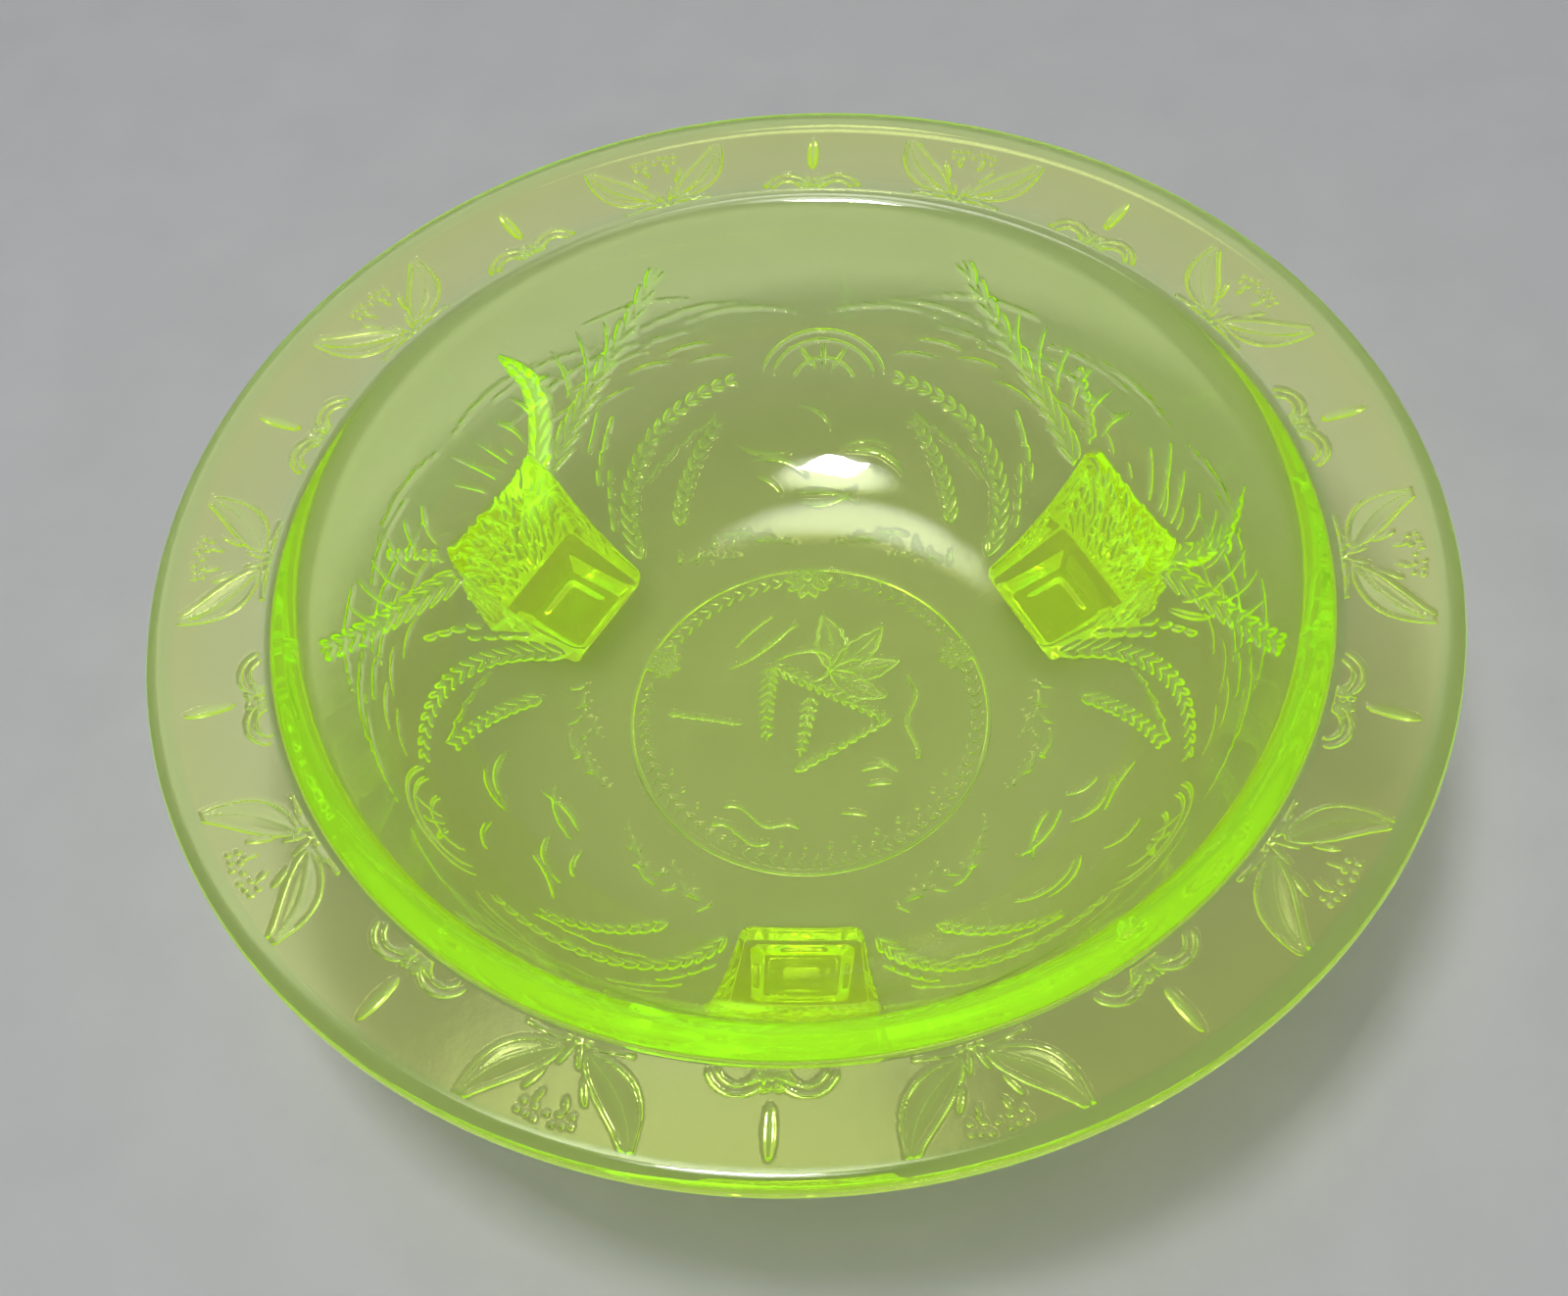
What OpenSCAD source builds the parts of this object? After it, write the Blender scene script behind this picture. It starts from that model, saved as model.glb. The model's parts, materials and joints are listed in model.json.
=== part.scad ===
// Three-footed bowl of pressed uranium glass, with a broad brim.
//
// One mould pressed the whole bowl, so its sub-parts are the zones of the
// pressing and the ornament that stands out of each zone. They meet face to face.
// Origin: on the table, midway between the three feet, under the bowl's axis.
// +Z is up. The front foot points towards -Y.

/* [Size] */
// Diameter over the rolled edge of the brim
rim_d = 250; // [240:1:262]
// Height from the table to the top of the brim
height = 75; // [73:0.5:78]

/* [Glass] */
// Thickness of the floor and the wall
wall_t = 5.5; // [4.5:0.1:6]
// Thickness of the brim at its outer edge
brim_t = 6.5; // [6.2:0.1:7.5]
// How much lower the brim's top is at its inner edge
brim_fall = 2; // [1:0.1:2.5]

/* [Bowl] */
// Depth of the bowl, from the top of the brim down to the floor
bowl_depth = 58; // [56:0.5:59]
// Radius of the flat floor
floor_r = 40; // [38:0.5:41]
// Radius of the curve from the floor up to the wall
bend_r = 50; // [48:0.5:51]
// Slope of the inside of the wall above that curve, from level
wall_slope = 68; // [66:1:71]
// Slope of the outside, less steep because the wall thickens upwards
neck_slope = 64; // [62:1:66]
// Radius of the hollow corner under the brim
neck_fillet_r = 2; // [1.5:0.1:3]

/* [Feet] */
// Direction of the front foot
foot_azimuth = -92; // [-100:1:-84]
// Distance from the axis to a foot's inner face
foot_inner_r = 54; // [52:0.5:55]
// Distance from the axis to a foot's outer face, at its base
foot_outer_r = 82; // [80:0.5:84]
// Width of a foot at its inner face
foot_inner_w = 24; // [22:0.5:26]
// Width of a foot at its outer face
foot_outer_w = 35; // [30:0.5:36]
// Height of the tapered sole below the block of the foot
sole_h = 6; // [4:0.5:7]
// Side of the square that stands on the table
sole_w = 17; // [15:0.5:19]

/* [Ornament] */
// How far the ornament stands out of the glass
relief = 0.8; // [0.5:0.1:1]
// How far the ribs and veins stand out of the glass
rib_relief = 1.2; // [1.1:0.1:1.5]
// Number of sprays round the brim
sprays = 10; // [8:1:10]
// Direction of the first spray
spray_azimuth = -110; // [-120:1:-100]
// Length of a large leaf on the brim
leaf_l = 18; // [14:0.5:18.5]
// Width of a large leaf on the brim
leaf_w = 6.5; // [4:0.5:7]
// Number of twig strokes in the wreath round the floor
wreath_strokes = 60; // [48:6:66]
// Number of strokes on one side of a fern on the wall
fern_strokes = 13; // [8:1:14]

/* [Hidden] */

$fn = 240;
oval_fn = 256;      // the long flat arcs of a pointed oval
small_fn = 48;      // arcs on the small ornament
slack = 20;         // how far a cutting shape runs past what it cuts

glass = "YellowGreen";
thick_glass = "LawnGreen";
relief_glass = "GreenYellow";

rim_r = rim_d / 2;
floor_top = height - bowl_depth;
floor_under = floor_top - wall_t;
bend_centre = [floor_r, floor_top + bend_r];
outer_bend_r = bend_r + wall_t;
brim_under = height - brim_t;
rim_roll_r = 3;                     // radius of the rolled edge
rim_crease_r = rim_r - rim_roll_r;  // where the brim starts to roll over, above and below
rim_zone_r = rim_crease_r - 1.5;    // joint between the brim and its rolled edge
wall_joints = [23, 46];             // angles up the bend where the wall's zones meet

// A point on a circle in the profile plane, at an angle from straight down
function bend_point(r, angle) =
    bend_centre + r * [sin(angle), -cos(angle)];

inner_bend_end = bend_point(bend_r, wall_slope);
outer_bend_end = bend_point(outer_bend_r, neck_slope);
wall_run = [cos(wall_slope), sin(wall_slope)];
neck_run = [cos(neck_slope), sin(neck_slope)];
neck_normal = [sin(neck_slope), -cos(neck_slope)];

// The neck's inside goes up the wall to the lip, where the brim begins
lip_drop = 6.5;                     // lip's start below the top of the brim
lip_round = [1.2, 2.6];             // middle of the lip's round, from its start
lip_run = 4.5;                      // how far out the lip reaches from its start
lip_start = inner_bend_end
    + wall_run * (height - lip_drop - inner_bend_end[1]) / wall_run[1];
lip_end = [lip_start[0] + lip_run, height - brim_fall];
neck_fillet_z = brim_under - neck_fillet_r;
neck_fillet_centre = [
    outer_bend_end[0]
        + (neck_fillet_r + (neck_fillet_z - outer_bend_end[1]) * -neck_normal[1]) / neck_normal[0],
    neck_fillet_z
];
neck_zone_r = neck_fillet_centre[0];
// Height of the brim's top at a radius
function brim_top(r) =
    height - brim_fall * (rim_crease_r - r) / (rim_crease_r - lip_end[0]);

foot_turns = [0, 120, 240];         // front, right and left foot
foot_bevel = [1.5, 4];              // bevel under the inner face, outwards and upwards
foot_heel = 2;                      // how far the base is set in from the outer face
foot_back = [2.5, 12];              // bend of the outer face: how far out, and above the base
foot_top = [6, 8];                  // its upper end: how far out, and below the bend's end
foot_overrun = 8;                   // how far the plan runs on behind the outer face
sole_centre_r = (foot_inner_r + foot_outer_r) / 2 - 0.5;
spine_gap = 3;                      // from the spine's tip up to the hollow corner
spine_top_z = brim_under - neck_fillet_r - spine_gap;
spine_top_r = outer_bend_end[0] + (spine_top_z - outer_bend_end[1]) / tan(neck_slope);
spine_turn = -13;                   // angle from the foot's middle to its spine
spine_tip = 1;                      // how far the spine's tip stands out of the wall
spine_crest = 3.6;                  // how far the spine stands out at the bend's end
spine_root = 4;                     // how deep the spine's back runs into the wall
spine_widths = [11, 6, 1.2];        // at the block, at the bend's end and at the tip

// ---------------------------------------------------------------- profiles

// Half of the solid bowl's outline, with its inside filled
module bowl_outline() {
    polygon([
        [0, floor_under], [floor_r, floor_under], bend_centre,
        outer_bend_end, outer_bend_end + neck_run * 2 * slack, [0, height + slack]
    ]);
    intersection() {
        translate(bend_centre) circle(r = outer_bend_r);
        translate([floor_r, floor_under]) square([outer_bend_r, outer_bend_r]);
    }
}

// Everything inside the outer surface of the floor and wall
module bowl_filled() {
    rotate_extrude(angle = 360) bowl_outline();
}

// A part of the band between two circles round the bend's centre. Its upper end
// runs from one angle on the inner circle to another on the outer one.
module bend_band(r_in, r_out, from, to_in, to_out) {
    end_in = bend_point(r_in, to_in);
    end_out = bend_point(r_out, to_out);
    intersection() {
        translate(bend_centre) difference() {
            circle(r = r_out);
            circle(r = r_in);
        }
        polygon([
            bend_centre, bend_point(2 * r_out, from), bend_point(2.8 * r_out, (from + to_in) / 2),
            end_out + (end_out - end_in) * r_out / (r_out - r_in), end_in
        ]);
    }
}

// Pointed oval with its long axis along X
module pointed_oval(length, width) {
    r = (length * length + width * width) / (4 * width);
    intersection() {
        translate([0, r - width / 2]) circle(r = r, $fn = oval_fn);
        translate([0, width / 2 - r]) circle(r = r, $fn = oval_fn);
    }
}

// Straight-sided stroke with pointed ends, along X
module stroke(length, width) {
    polygon([
        [-length / 2, 0], [-length / 4, -width / 2], [length / 4, -width / 2],
        [length / 2, 0], [length / 4, width / 2], [-length / 4, width / 2]
    ]);
}

// Arc of a thin round line, from one angle to another
module arc_line(r, width, from, to) {
    intersection() {
        difference() {
            circle(r = r + width / 2);
            circle(r = r - width / 2);
        }
        polygon([
            [0, 0],
            for (i = [0:4]) 2 * r * [cos(from + (to - from) * i / 4), sin(from + (to - from) * i / 4)]
        ]);
    }
}

// Ring of petals round a centre
module petal_ring(count, inner, length, width) {
    for (i = [0:count - 1])
        rotate(i * 360 / count) translate([inner + length / 2, 0]) pointed_oval(length, width);
}

// ---------------------------------------------------------------- bowl

module bowl_floor() {
    color(glass) translate([0, 0, floor_under]) cylinder(r = floor_r, h = wall_t);
}

// A zone of the curved wall, between two angles up the bend
module wall_zone(from, to_in, to_out) {
    color(glass) rotate_extrude() bend_band(bend_r, outer_bend_r, from, to_in, to_out);
}

module wall_lower() {
    wall_zone(0, wall_joints[0], wall_joints[0]);
}

module wall_middle() {
    wall_zone(wall_joints[0], wall_joints[1], wall_joints[1]);
}

module wall_upper() {
    wall_zone(wall_joints[1], wall_slope, neck_slope);
}

// The straight top of the wall, the rounded lip and the hollow corner under the brim
module neck_ring() {
    color(thick_glass) rotate_extrude() difference() {
        polygon([
            inner_bend_end, lip_start, lip_start + lip_round, lip_end,
            [neck_zone_r, brim_top(neck_zone_r)], [neck_zone_r, brim_under - neck_fillet_r],
            neck_fillet_centre - neck_fillet_r * neck_normal, outer_bend_end
        ]);
        translate(neck_fillet_centre) circle(r = neck_fillet_r);
    }
}

module brim() {
    color(glass) rotate_extrude() polygon([
        [neck_zone_r, brim_under], [rim_zone_r, brim_under],
        [rim_zone_r, brim_top(rim_zone_r)], [neck_zone_r, brim_top(neck_zone_r)]
    ]);
}

// A quarter of the rolled edge's round, in its upper or its lower corner
module rim_corner(z, up) {
    translate([rim_crease_r, z]) intersection() {
        circle(r = rim_roll_r);
        translate([0, up ? 0 : -rim_roll_r]) square(rim_roll_r);
    }
}

// The rolled outer edge of the brim
module rim_edge() {
    color(thick_glass) rotate_extrude() {
        polygon([
            [rim_zone_r, brim_under], [rim_crease_r, brim_under],
            [rim_crease_r, height], [rim_zone_r, brim_top(rim_zone_r)]
        ]);
        rim_corner(height - rim_roll_r, true);
        translate([rim_crease_r, brim_under + rim_roll_r])
            square([rim_roll_r, brim_t - 2 * rim_roll_r]);
        rim_corner(brim_under + rim_roll_r, false);
    }
}

// ---------------------------------------------------------------- feet

// Put a foot, drawn along +X, under one of its three places
module at_foot(turn) {
    rotate(foot_azimuth + turn) children();
}

// An outline in the plane of radius and height, made solid across the foot
module foot_profile(points) {
    rotate([90, 0, 0]) translate([0, 0, -slack]) linear_extrude(2 * slack) polygon(points);
}

// The block between the bowl's underside and the tapered sole
module foot_block(turn) {
    back_r = foot_outer_r + foot_overrun;
    back_half = foot_outer_w / 2
        + foot_overrun * (foot_outer_w - foot_inner_w) / 2 / (foot_outer_r - foot_inner_r);
    front_half = foot_inner_w / 2;
    top_z = outer_bend_end[1];
    color(thick_glass) at_foot(turn) difference() {
        intersection() {
            translate([0, 0, sole_h]) linear_extrude(top_z - sole_h) polygon([
                [foot_inner_r, -front_half], [back_r, -back_half],
                [back_r, back_half], [foot_inner_r, front_half]
            ]);
            foot_profile([
                [foot_inner_r + foot_bevel[0], sole_h], [foot_outer_r - foot_heel, sole_h],
                [foot_outer_r + foot_back[0], sole_h + foot_back[1]],
                [foot_outer_r + foot_top[0], top_z - foot_top[1]],
                [foot_inner_r, top_z - foot_top[1]], [foot_inner_r, sole_h + foot_bevel[1]]
            ]);
        }
        bowl_filled();
    }
}

// The sole tapers from the block down to the square that stands on the table
module foot_sole(turn) {
    half = sole_w / 2;
    block_half = foot_inner_w / 2;
    flare = (foot_outer_r - foot_inner_r - foot_bevel[0] - foot_heel - sole_w) / 2;
    color(thick_glass) at_foot(turn) intersection() {
        foot_profile([
            [sole_centre_r - half, 0], [sole_centre_r + half, 0],
            [sole_centre_r + half + flare, sole_h], [sole_centre_r - half - flare, sole_h]
        ]);
        rotate([90, 0, 90]) translate([0, 0, foot_inner_r - slack])
            linear_extrude(foot_outer_r - foot_inner_r + 2 * slack) polygon([
                [-half, 0], [half, 0], [block_half, sole_h], [-block_half, sole_h]
            ]);
    }
}

// The pointed spine that runs from one corner of the block up the outside of the wall
module foot_spine(turn) {
    start_z = outer_bend_end[1] - foot_top[1];
    halves = spine_widths / 2;
    color(thick_glass) at_foot(turn + spine_turn) difference() {
        intersection() {
            foot_profile([
                [foot_outer_r + foot_top[0], start_z],
                [outer_bend_end[0] + spine_crest, outer_bend_end[1]],
                [spine_top_r + spine_tip, spine_top_z], [spine_top_r - spine_root, spine_top_z],
                [foot_inner_r, start_z]
            ]);
            rotate([90, 0, 90]) linear_extrude(2 * rim_r) polygon([
                [-halves[0], start_z], [halves[0], start_z], [halves[1], outer_bend_end[1]],
                [halves[2], spine_top_z], [-halves[2], spine_top_z], [-halves[1], outer_bend_end[1]]
            ]);
        }
        bowl_filled();
    }
}

// ---------------------------------------------------------------- brim ornament

// Hang flat ornament under the brim, at a radius and a direction
module under_brim(r, azimuth, depth = relief) {
    rotate(azimuth) translate([r, 0, brim_under - depth])
        linear_extrude(depth) children();
}

// Do something for every spray, with its direction in $azimuth
module each_spray(turn = 0) {
    for (i = [0:sprays - 1]) {
        $azimuth = spray_azimuth + turn + i * 360 / sprays;
        children();
    }
}

spray_r = neck_zone_r + 1.8;        // centre of a spray
bow_r = neck_zone_r + 1.1;          // centre of a bow
half_turn = 180 / sprays;           // from a spray to the next bow
leaf_open = 52;                     // angle of a large leaf from straight outwards
leaf_root = 2.7;                    // gap from the spray's centre to a leaf
leaf_hollow = [0.78, 0.62];         // hollow middle of a leaf, as shares of its length and width
vein_share = 0.7;                   // length of a vein, as a share of the leaf's
vein_w = 0.9;
sepal = [5.6, 1.5];                 // length and width of a sepal
sepal_turn = 97;
sepal_reach = 6.4;                  // from the spray's centre to the middle of a sepal
blossom_eye_r = 0.8;
stamen = [4.8, 0.8];                // length and width of a stamen
stamen_turns = [-24, -8, 8, 24];
stamen_reach = 6.2;                 // to the middle of a stamen that points straight out
berry_r = 0.55;
berry_reach = 9.4;                  // from the spray's centre to its first row of berries
berry_row_gap = 2.2;
berry_step = 2.4;                   // angle between two berries of a row
bow_turn = 2.9;                     // angle from the middle of a bow to one of its loops
bow_radii = [4.4, 2.9];             // the nested loops of a bow
bow_open = 78;                      // half of the angle that a loop goes round
bow_line_w = 0.7;
bud = [10, 2.8];                    // length and width of a bud
bud_reach = 8.7;                    // from the bow's centre to the middle of a bud

// Put something where a large leaf of the spray lies, on one side
module at_leaf(side) {
    rotate(side * leaf_open) translate([leaf_root + leaf_l / 2, 0]) children();
}

module brim_leaves() {
    color(relief_glass) each_spray() for (side = [-1, 1])
        under_brim(spray_r, $azimuth) at_leaf(side) difference() {
            pointed_oval(leaf_l, leaf_w);
            pointed_oval(leaf_l * leaf_hollow[0], leaf_w * leaf_hollow[1]);
        }
}

module brim_leaf_veins() {
    color(relief_glass) each_spray() for (side = [-1, 1])
        under_brim(spray_r, $azimuth, rib_relief) at_leaf(side) stroke(leaf_l * vein_share, vein_w);
}

module brim_sepals() {
    color(relief_glass) each_spray() for (side = [-1, 1])
        under_brim(spray_r, $azimuth)
            rotate(side * sepal_turn) translate([sepal_reach, 0]) stroke(sepal[0], sepal[1]);
}

module brim_blossoms() {
    color(relief_glass) each_spray() under_brim(spray_r, $azimuth, rib_relief) {
        circle(r = blossom_eye_r, $fn = small_fn);
        rotate(36) petal_ring(5, 1.1, 2, 1.1);
    }
}

module brim_stamens() {
    color(relief_glass) each_spray() for (lean = stamen_turns)
        under_brim(spray_r, $azimuth)
            rotate(lean) translate([stamen_reach - abs(lean) / 16, 0]) stroke(stamen[0], stamen[1]);
}

module brim_berries() {
    color(relief_glass) each_spray() for (row = [0:1], place = [-2:2])
        rotate($azimuth + place * (berry_step + row * 0.3) + row * berry_step / 2) translate([
            spray_r + berry_reach + row * berry_row_gap - abs(place) * 0.5, 0, brim_under - relief
        ])
            cylinder(r = berry_r, h = relief, $fn = small_fn);
}

module brim_bows() {
    color(relief_glass) each_spray(half_turn) for (side = [-1, 1], size = bow_radii)
        rotate(side * bow_turn) under_brim(bow_r, $azimuth)
            arc_line(size, bow_line_w, -bow_open, bow_open, $fn = small_fn);
}

module brim_bow_florets() {
    color(relief_glass) each_spray(half_turn)
        under_brim(bow_r, $azimuth) petal_ring(4, 0.5, 1.2, 0.8);
}

module brim_buds() {
    color(relief_glass) each_spray(half_turn)
        under_brim(bow_r + bud_reach, $azimuth, rib_relief) pointed_oval(bud[0], bud[1]);
}

// ---------------------------------------------------------------- floor ornament

// Hang flat ornament under the floor, at a place and a turn
module under_floor(place = [0, 0], turn = 0, depth = relief) {
    translate([place[0], place[1], floor_under - depth]) rotate(turn)
        linear_extrude(depth) children();
}

wreath_r = floor_r - 3.6;       // centre of the wreath
daisy_turns = [90, 23, 157];    // directions of the daisies in the wreath
daisy_gap = 9;                  // angle that the wreath leaves clear on each side of a daisy
sprig_root = [-2, -4];          // where the sprig's stems meet
twig = [2.9, 0.7];              // length and width of a stroke of the wreath
twig_offset = 0.95;             // from the wreath's line out or in to a stroke
twig_lean = 32;
leaflet = [2.6, 0.7];           // length and width of a fern's leaflet
leaflet_offset = 1.15;
leaflet_lean = 38;
stem_w = 0.8;
ripple_r = 2.9;
stroke_w = 0.7;                 // width of a fine drawn line
ripple_pitch = 4.3;

module floor_ring() {
    color(relief_glass) under_floor() difference() {
        circle(r = floor_r - 0.4);
        circle(r = floor_r - 1.2);
    }
}

function clear_of_daisies(angle) =
    min([for (turn = daisy_turns) abs(((angle - turn + 540) % 360) - 180)]) > daisy_gap;

module floor_wreath() {
    color(relief_glass) for (i = [0:wreath_strokes - 1]) {
        angle = i * 360 / wreath_strokes;
        if (clear_of_daisies(angle)) for (side = [-1, 1])
            under_floor(
                (wreath_r + side * twig_offset) * [cos(angle), sin(angle)],
                angle + 90 + side * twig_lean)
                stroke(twig[0], twig[1]);
    }
}

module floor_daisies() {
    color(relief_glass) for (turn = daisy_turns)
        under_floor(wreath_r * [cos(turn), sin(turn)] * 0.975, turn, rib_relief) {
            circle(r = 0.7, $fn = small_fn);
            petal_ring(8, 1, 2.6, 1.3);
        }
}

// Leaves of the sprig: where each stands from the root, its turn and its length
sprig_leaves = [[9, 16, 80, 11], [15, 11, 38, 11], [17, 4, 4, 11], [12, -3, -22, 11], [-6, 17, 150, 9]];

module floor_sprig_leaves() {
    color(relief_glass) for (leaf = sprig_leaves)
        under_floor(sprig_root + [leaf[0], leaf[1]], leaf[2]) difference() {
            pointed_oval(leaf[3], leaf[3] * 0.4);
            pointed_oval(leaf[3] * 0.74, leaf[3] * 0.22);
        }
}

module floor_sprig_stems() {
    color(relief_glass) for (leaf = sprig_leaves) {
        reach = norm([leaf[0], leaf[1]]) - leaf[3] / 2;
        under_floor(sprig_root, atan2(leaf[1], leaf[0]))
            translate([stem_w + reach / 2, 0]) stroke(reach - 3, stem_w);
    }
}

// Fern fronds: root, turn and number of leaflet pairs
floor_fern_rows = [[-4, -2, 215, 6], [-3, -8, 262, 5], [-8, 2, 178, 5], [6, -12, 305, 5]];

module floor_ferns() {
    color(relief_glass) for (fern = floor_fern_rows, i = [1:fern[3]], side = [-1, 1])
        translate([fern[0], fern[1], 0]) rotate(fern[2])
            translate([i * leaflet[0], side * leaflet_offset, 0])
                under_floor([0, 0], side * leaflet_lean) stroke(leaflet[0], leaflet[1]);
}

// Two rows of waves, each a chain of arcs that bend up and down in turn
module floor_ripples() {
    color(relief_glass) for (row = [0:1], wave = [0:2])
        translate([-13 + row * 3 + wave * ripple_pitch, -22 - row * 3.2, 0])
            under_floor() mirror([0, wave % 2, 0]) translate([0, 1 - ripple_r])
                arc_line(ripple_r, stroke_w, 45, 135, $fn = small_fn);
}

// ---------------------------------------------------------------- wall ornament

wall_ornament = [6, 62];        // angles up the bend between which ornament may lie
wall_clear = 2;                 // how far outside the wall flat ornament starts
wall_cut = 5;                   // how thick it is before it is trimmed to the wall's layer

// Thin layer on the outside of the curved wall
module wall_layer(depth) {
    rotate_extrude() bend_band(
        outer_bend_r, outer_bend_r + depth, wall_ornament[0], wall_ornament[1], wall_ornament[1]);
}

// Point flat ornament at the outside of the wall, at a direction and an angle up the
// bend. Its X axis points up the wall, and its Y axis to the left seen from the inside.
module on_wall(azimuth, rise, turn = 0) {
    rotate(azimuth) translate([bend_centre[0], 0, bend_centre[1]])
        rotate([0, -rise, 0]) translate([0, 0, -outer_bend_r - wall_clear])
            rotate(turn) linear_extrude(wall_cut) children();
}

panel_turns = [60, 180, 300];   // middle of each panel between two feet
fern_root = [44, 18];           // angle from the panel's middle, and up the bend
fern_reach = [30, 32];          // how far the fern comes back to the middle, and rises
fern_slant = 38;                // its reach sideways, in angle up the bend
fern_leaf = [4.6, 1];           // length and width of a stroke of a fern
fern_leaf_lean = 30;
fern_half_w = 2.1;              // angle from the stem to the middle of a stroke
fern_stem = [3.2, 0.8];         // length and width of a stroke of the stem
arch_rise = 47;                 // angle up the bend of the arches' centre
arch_radii = [7, 11.5, 14];
arch_open = 74;                 // half of the angle that an arch goes round

// A fern's place on the panel from 0 at its root to 1 at its tip, and where it heads
function fern_azimuth(side, along) = side * (fern_root[0] - fern_reach[0] * along);
function fern_rise(along) = fern_root[1] + fern_reach[1] * sin(90 * along);
function fern_heading(side, along) =
    atan2(-side * fern_slant, fern_reach[1] * PI / 2 * cos(90 * along));

module wall_ferns() {
    color(relief_glass) intersection() {
        wall_layer(relief);
        for (panel = panel_turns, side = [-1, 1], i = [1:fern_strokes], edge = [-1, 1]) {
            along = i / fern_strokes;
            heading = fern_heading(side, along);
            on_wall(
                foot_azimuth + panel + fern_azimuth(side, along) + edge * fern_half_w * cos(heading),
                fern_rise(along) - edge * fern_half_w * sin(heading), heading + edge * fern_leaf_lean)
                stroke(fern_leaf[0], fern_leaf[1]);
        }
    }
}

module wall_fern_stems() {
    color(relief_glass) intersection() {
        wall_layer(relief);
        for (panel = panel_turns, side = [-1, 1], i = [1:fern_strokes]) {
            along = (i - 0.5) / fern_strokes;
            on_wall(
                foot_azimuth + panel + fern_azimuth(side, along), fern_rise(along),
                fern_heading(side, along))
                stroke(fern_stem[0], fern_stem[1]);
        }
    }
}

module wall_arches() {
    color(relief_glass) intersection() {
        wall_layer(relief);
        for (panel = panel_turns, size = arch_radii)
            on_wall(foot_azimuth + panel, arch_rise)
                arc_line(size, stroke_w, -arch_open, arch_open);
    }
}

// ---------------------------------------------------------------- nodes

bowl_floor();
wall_lower();
wall_middle();
wall_upper();
neck_ring();
brim();
rim_edge();
foot_block(foot_turns[0]);  // foot_block_front
foot_block(foot_turns[1]);  // foot_block_right
foot_block(foot_turns[2]);  // foot_block_left
foot_sole(foot_turns[0]);  // foot_sole_front
foot_sole(foot_turns[1]);  // foot_sole_right
foot_sole(foot_turns[2]);  // foot_sole_left
foot_spine(foot_turns[0]);  // foot_spine_front
foot_spine(foot_turns[1]);  // foot_spine_right
foot_spine(foot_turns[2]);  // foot_spine_left
brim_leaves();
brim_leaf_veins();
brim_sepals();
brim_blossoms();
brim_stamens();
brim_berries();
brim_bows();
brim_bow_florets();
brim_buds();
floor_ring();
floor_wreath();
floor_daisies();
floor_sprig_leaves();
floor_sprig_stems();
floor_ferns();
floor_ripples();
wall_ferns();
wall_fern_stems();
wall_arches();
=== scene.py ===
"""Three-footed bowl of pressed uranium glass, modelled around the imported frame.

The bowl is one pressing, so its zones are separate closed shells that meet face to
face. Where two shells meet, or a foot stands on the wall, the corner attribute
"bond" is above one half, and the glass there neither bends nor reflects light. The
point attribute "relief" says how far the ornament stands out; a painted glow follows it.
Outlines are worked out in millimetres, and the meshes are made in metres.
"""
import json
import math

import bpy
import numpy as np
from mathutils import Matrix, Vector


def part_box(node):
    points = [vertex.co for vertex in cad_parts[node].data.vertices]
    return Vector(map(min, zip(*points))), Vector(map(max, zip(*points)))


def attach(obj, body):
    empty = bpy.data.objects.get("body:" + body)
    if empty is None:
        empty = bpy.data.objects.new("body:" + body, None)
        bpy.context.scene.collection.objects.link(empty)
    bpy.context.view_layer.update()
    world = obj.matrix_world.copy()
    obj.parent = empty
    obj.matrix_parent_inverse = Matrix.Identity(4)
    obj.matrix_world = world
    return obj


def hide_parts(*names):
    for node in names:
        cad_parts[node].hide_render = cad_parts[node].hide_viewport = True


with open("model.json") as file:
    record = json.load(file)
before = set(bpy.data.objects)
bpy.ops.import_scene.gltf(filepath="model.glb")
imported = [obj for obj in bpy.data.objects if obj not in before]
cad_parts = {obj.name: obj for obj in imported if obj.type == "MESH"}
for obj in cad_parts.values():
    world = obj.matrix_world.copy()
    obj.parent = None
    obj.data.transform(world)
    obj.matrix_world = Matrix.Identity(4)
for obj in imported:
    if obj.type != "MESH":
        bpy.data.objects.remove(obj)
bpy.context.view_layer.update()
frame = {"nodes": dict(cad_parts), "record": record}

MM = 0.001


def size(value):
    """A length of the frame, in millimetres."""
    return value / MM


# ---- sizes from the frame

floor_low, floor_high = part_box("bowl_floor")
brim_low, brim_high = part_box("brim")
neck_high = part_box("neck_ring")[1]
rim_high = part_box("rim_edge")[1]

FLOOR_R = size(floor_high.x)
FLOOR_TOP = size(floor_high.z)
FLOOR_UNDER = size(floor_low.z)
WALL_T = FLOOR_TOP - FLOOR_UNDER
RIM_R = size(rim_high.x)
HEIGHT = size(rim_high.z)
BRIM_UNDER = size(brim_low.z)
BRIM_OUT_R = size(brim_high.x)  # joint between the brim and its rolled edge
NECK_OUT_R = size(neck_high.x)  # joint between the neck and the brim

# ---- sizes of the section

BEND_R = 50.0  # inside of the curve from the floor up to the wall
WALL_SLOPE = 68.0  # degrees, inside of the wall above the curve
NECK_SLOPE = 64.0  # degrees, outside of the wall above the curve
LIP_DROP = 6.5  # start of the rounded lip, below the top of the brim
LIP_RUN = 4.5  # how far out the lip reaches from its start
LIP_CORNER = 0.8  # share of the rise at which the lip's round pulls outwards
BRIM_FALL = 2.0  # how much lower the brim's top is at the lip
ROLL_R = 3.0  # radius of the rolled edge
FILLET_R = 2.0  # hollow corner under the brim
GAP = 0.02  # air between two shells that meet
SEAM_LIFT = 0.7 * GAP  # the same on a sloping joint, measured upwards

OUTER_BEND_R = BEND_R + WALL_T
BEND_CENTRE = np.array([FLOOR_R, FLOOR_TOP + BEND_R])
CREASE_R = RIM_R - ROLL_R


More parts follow.
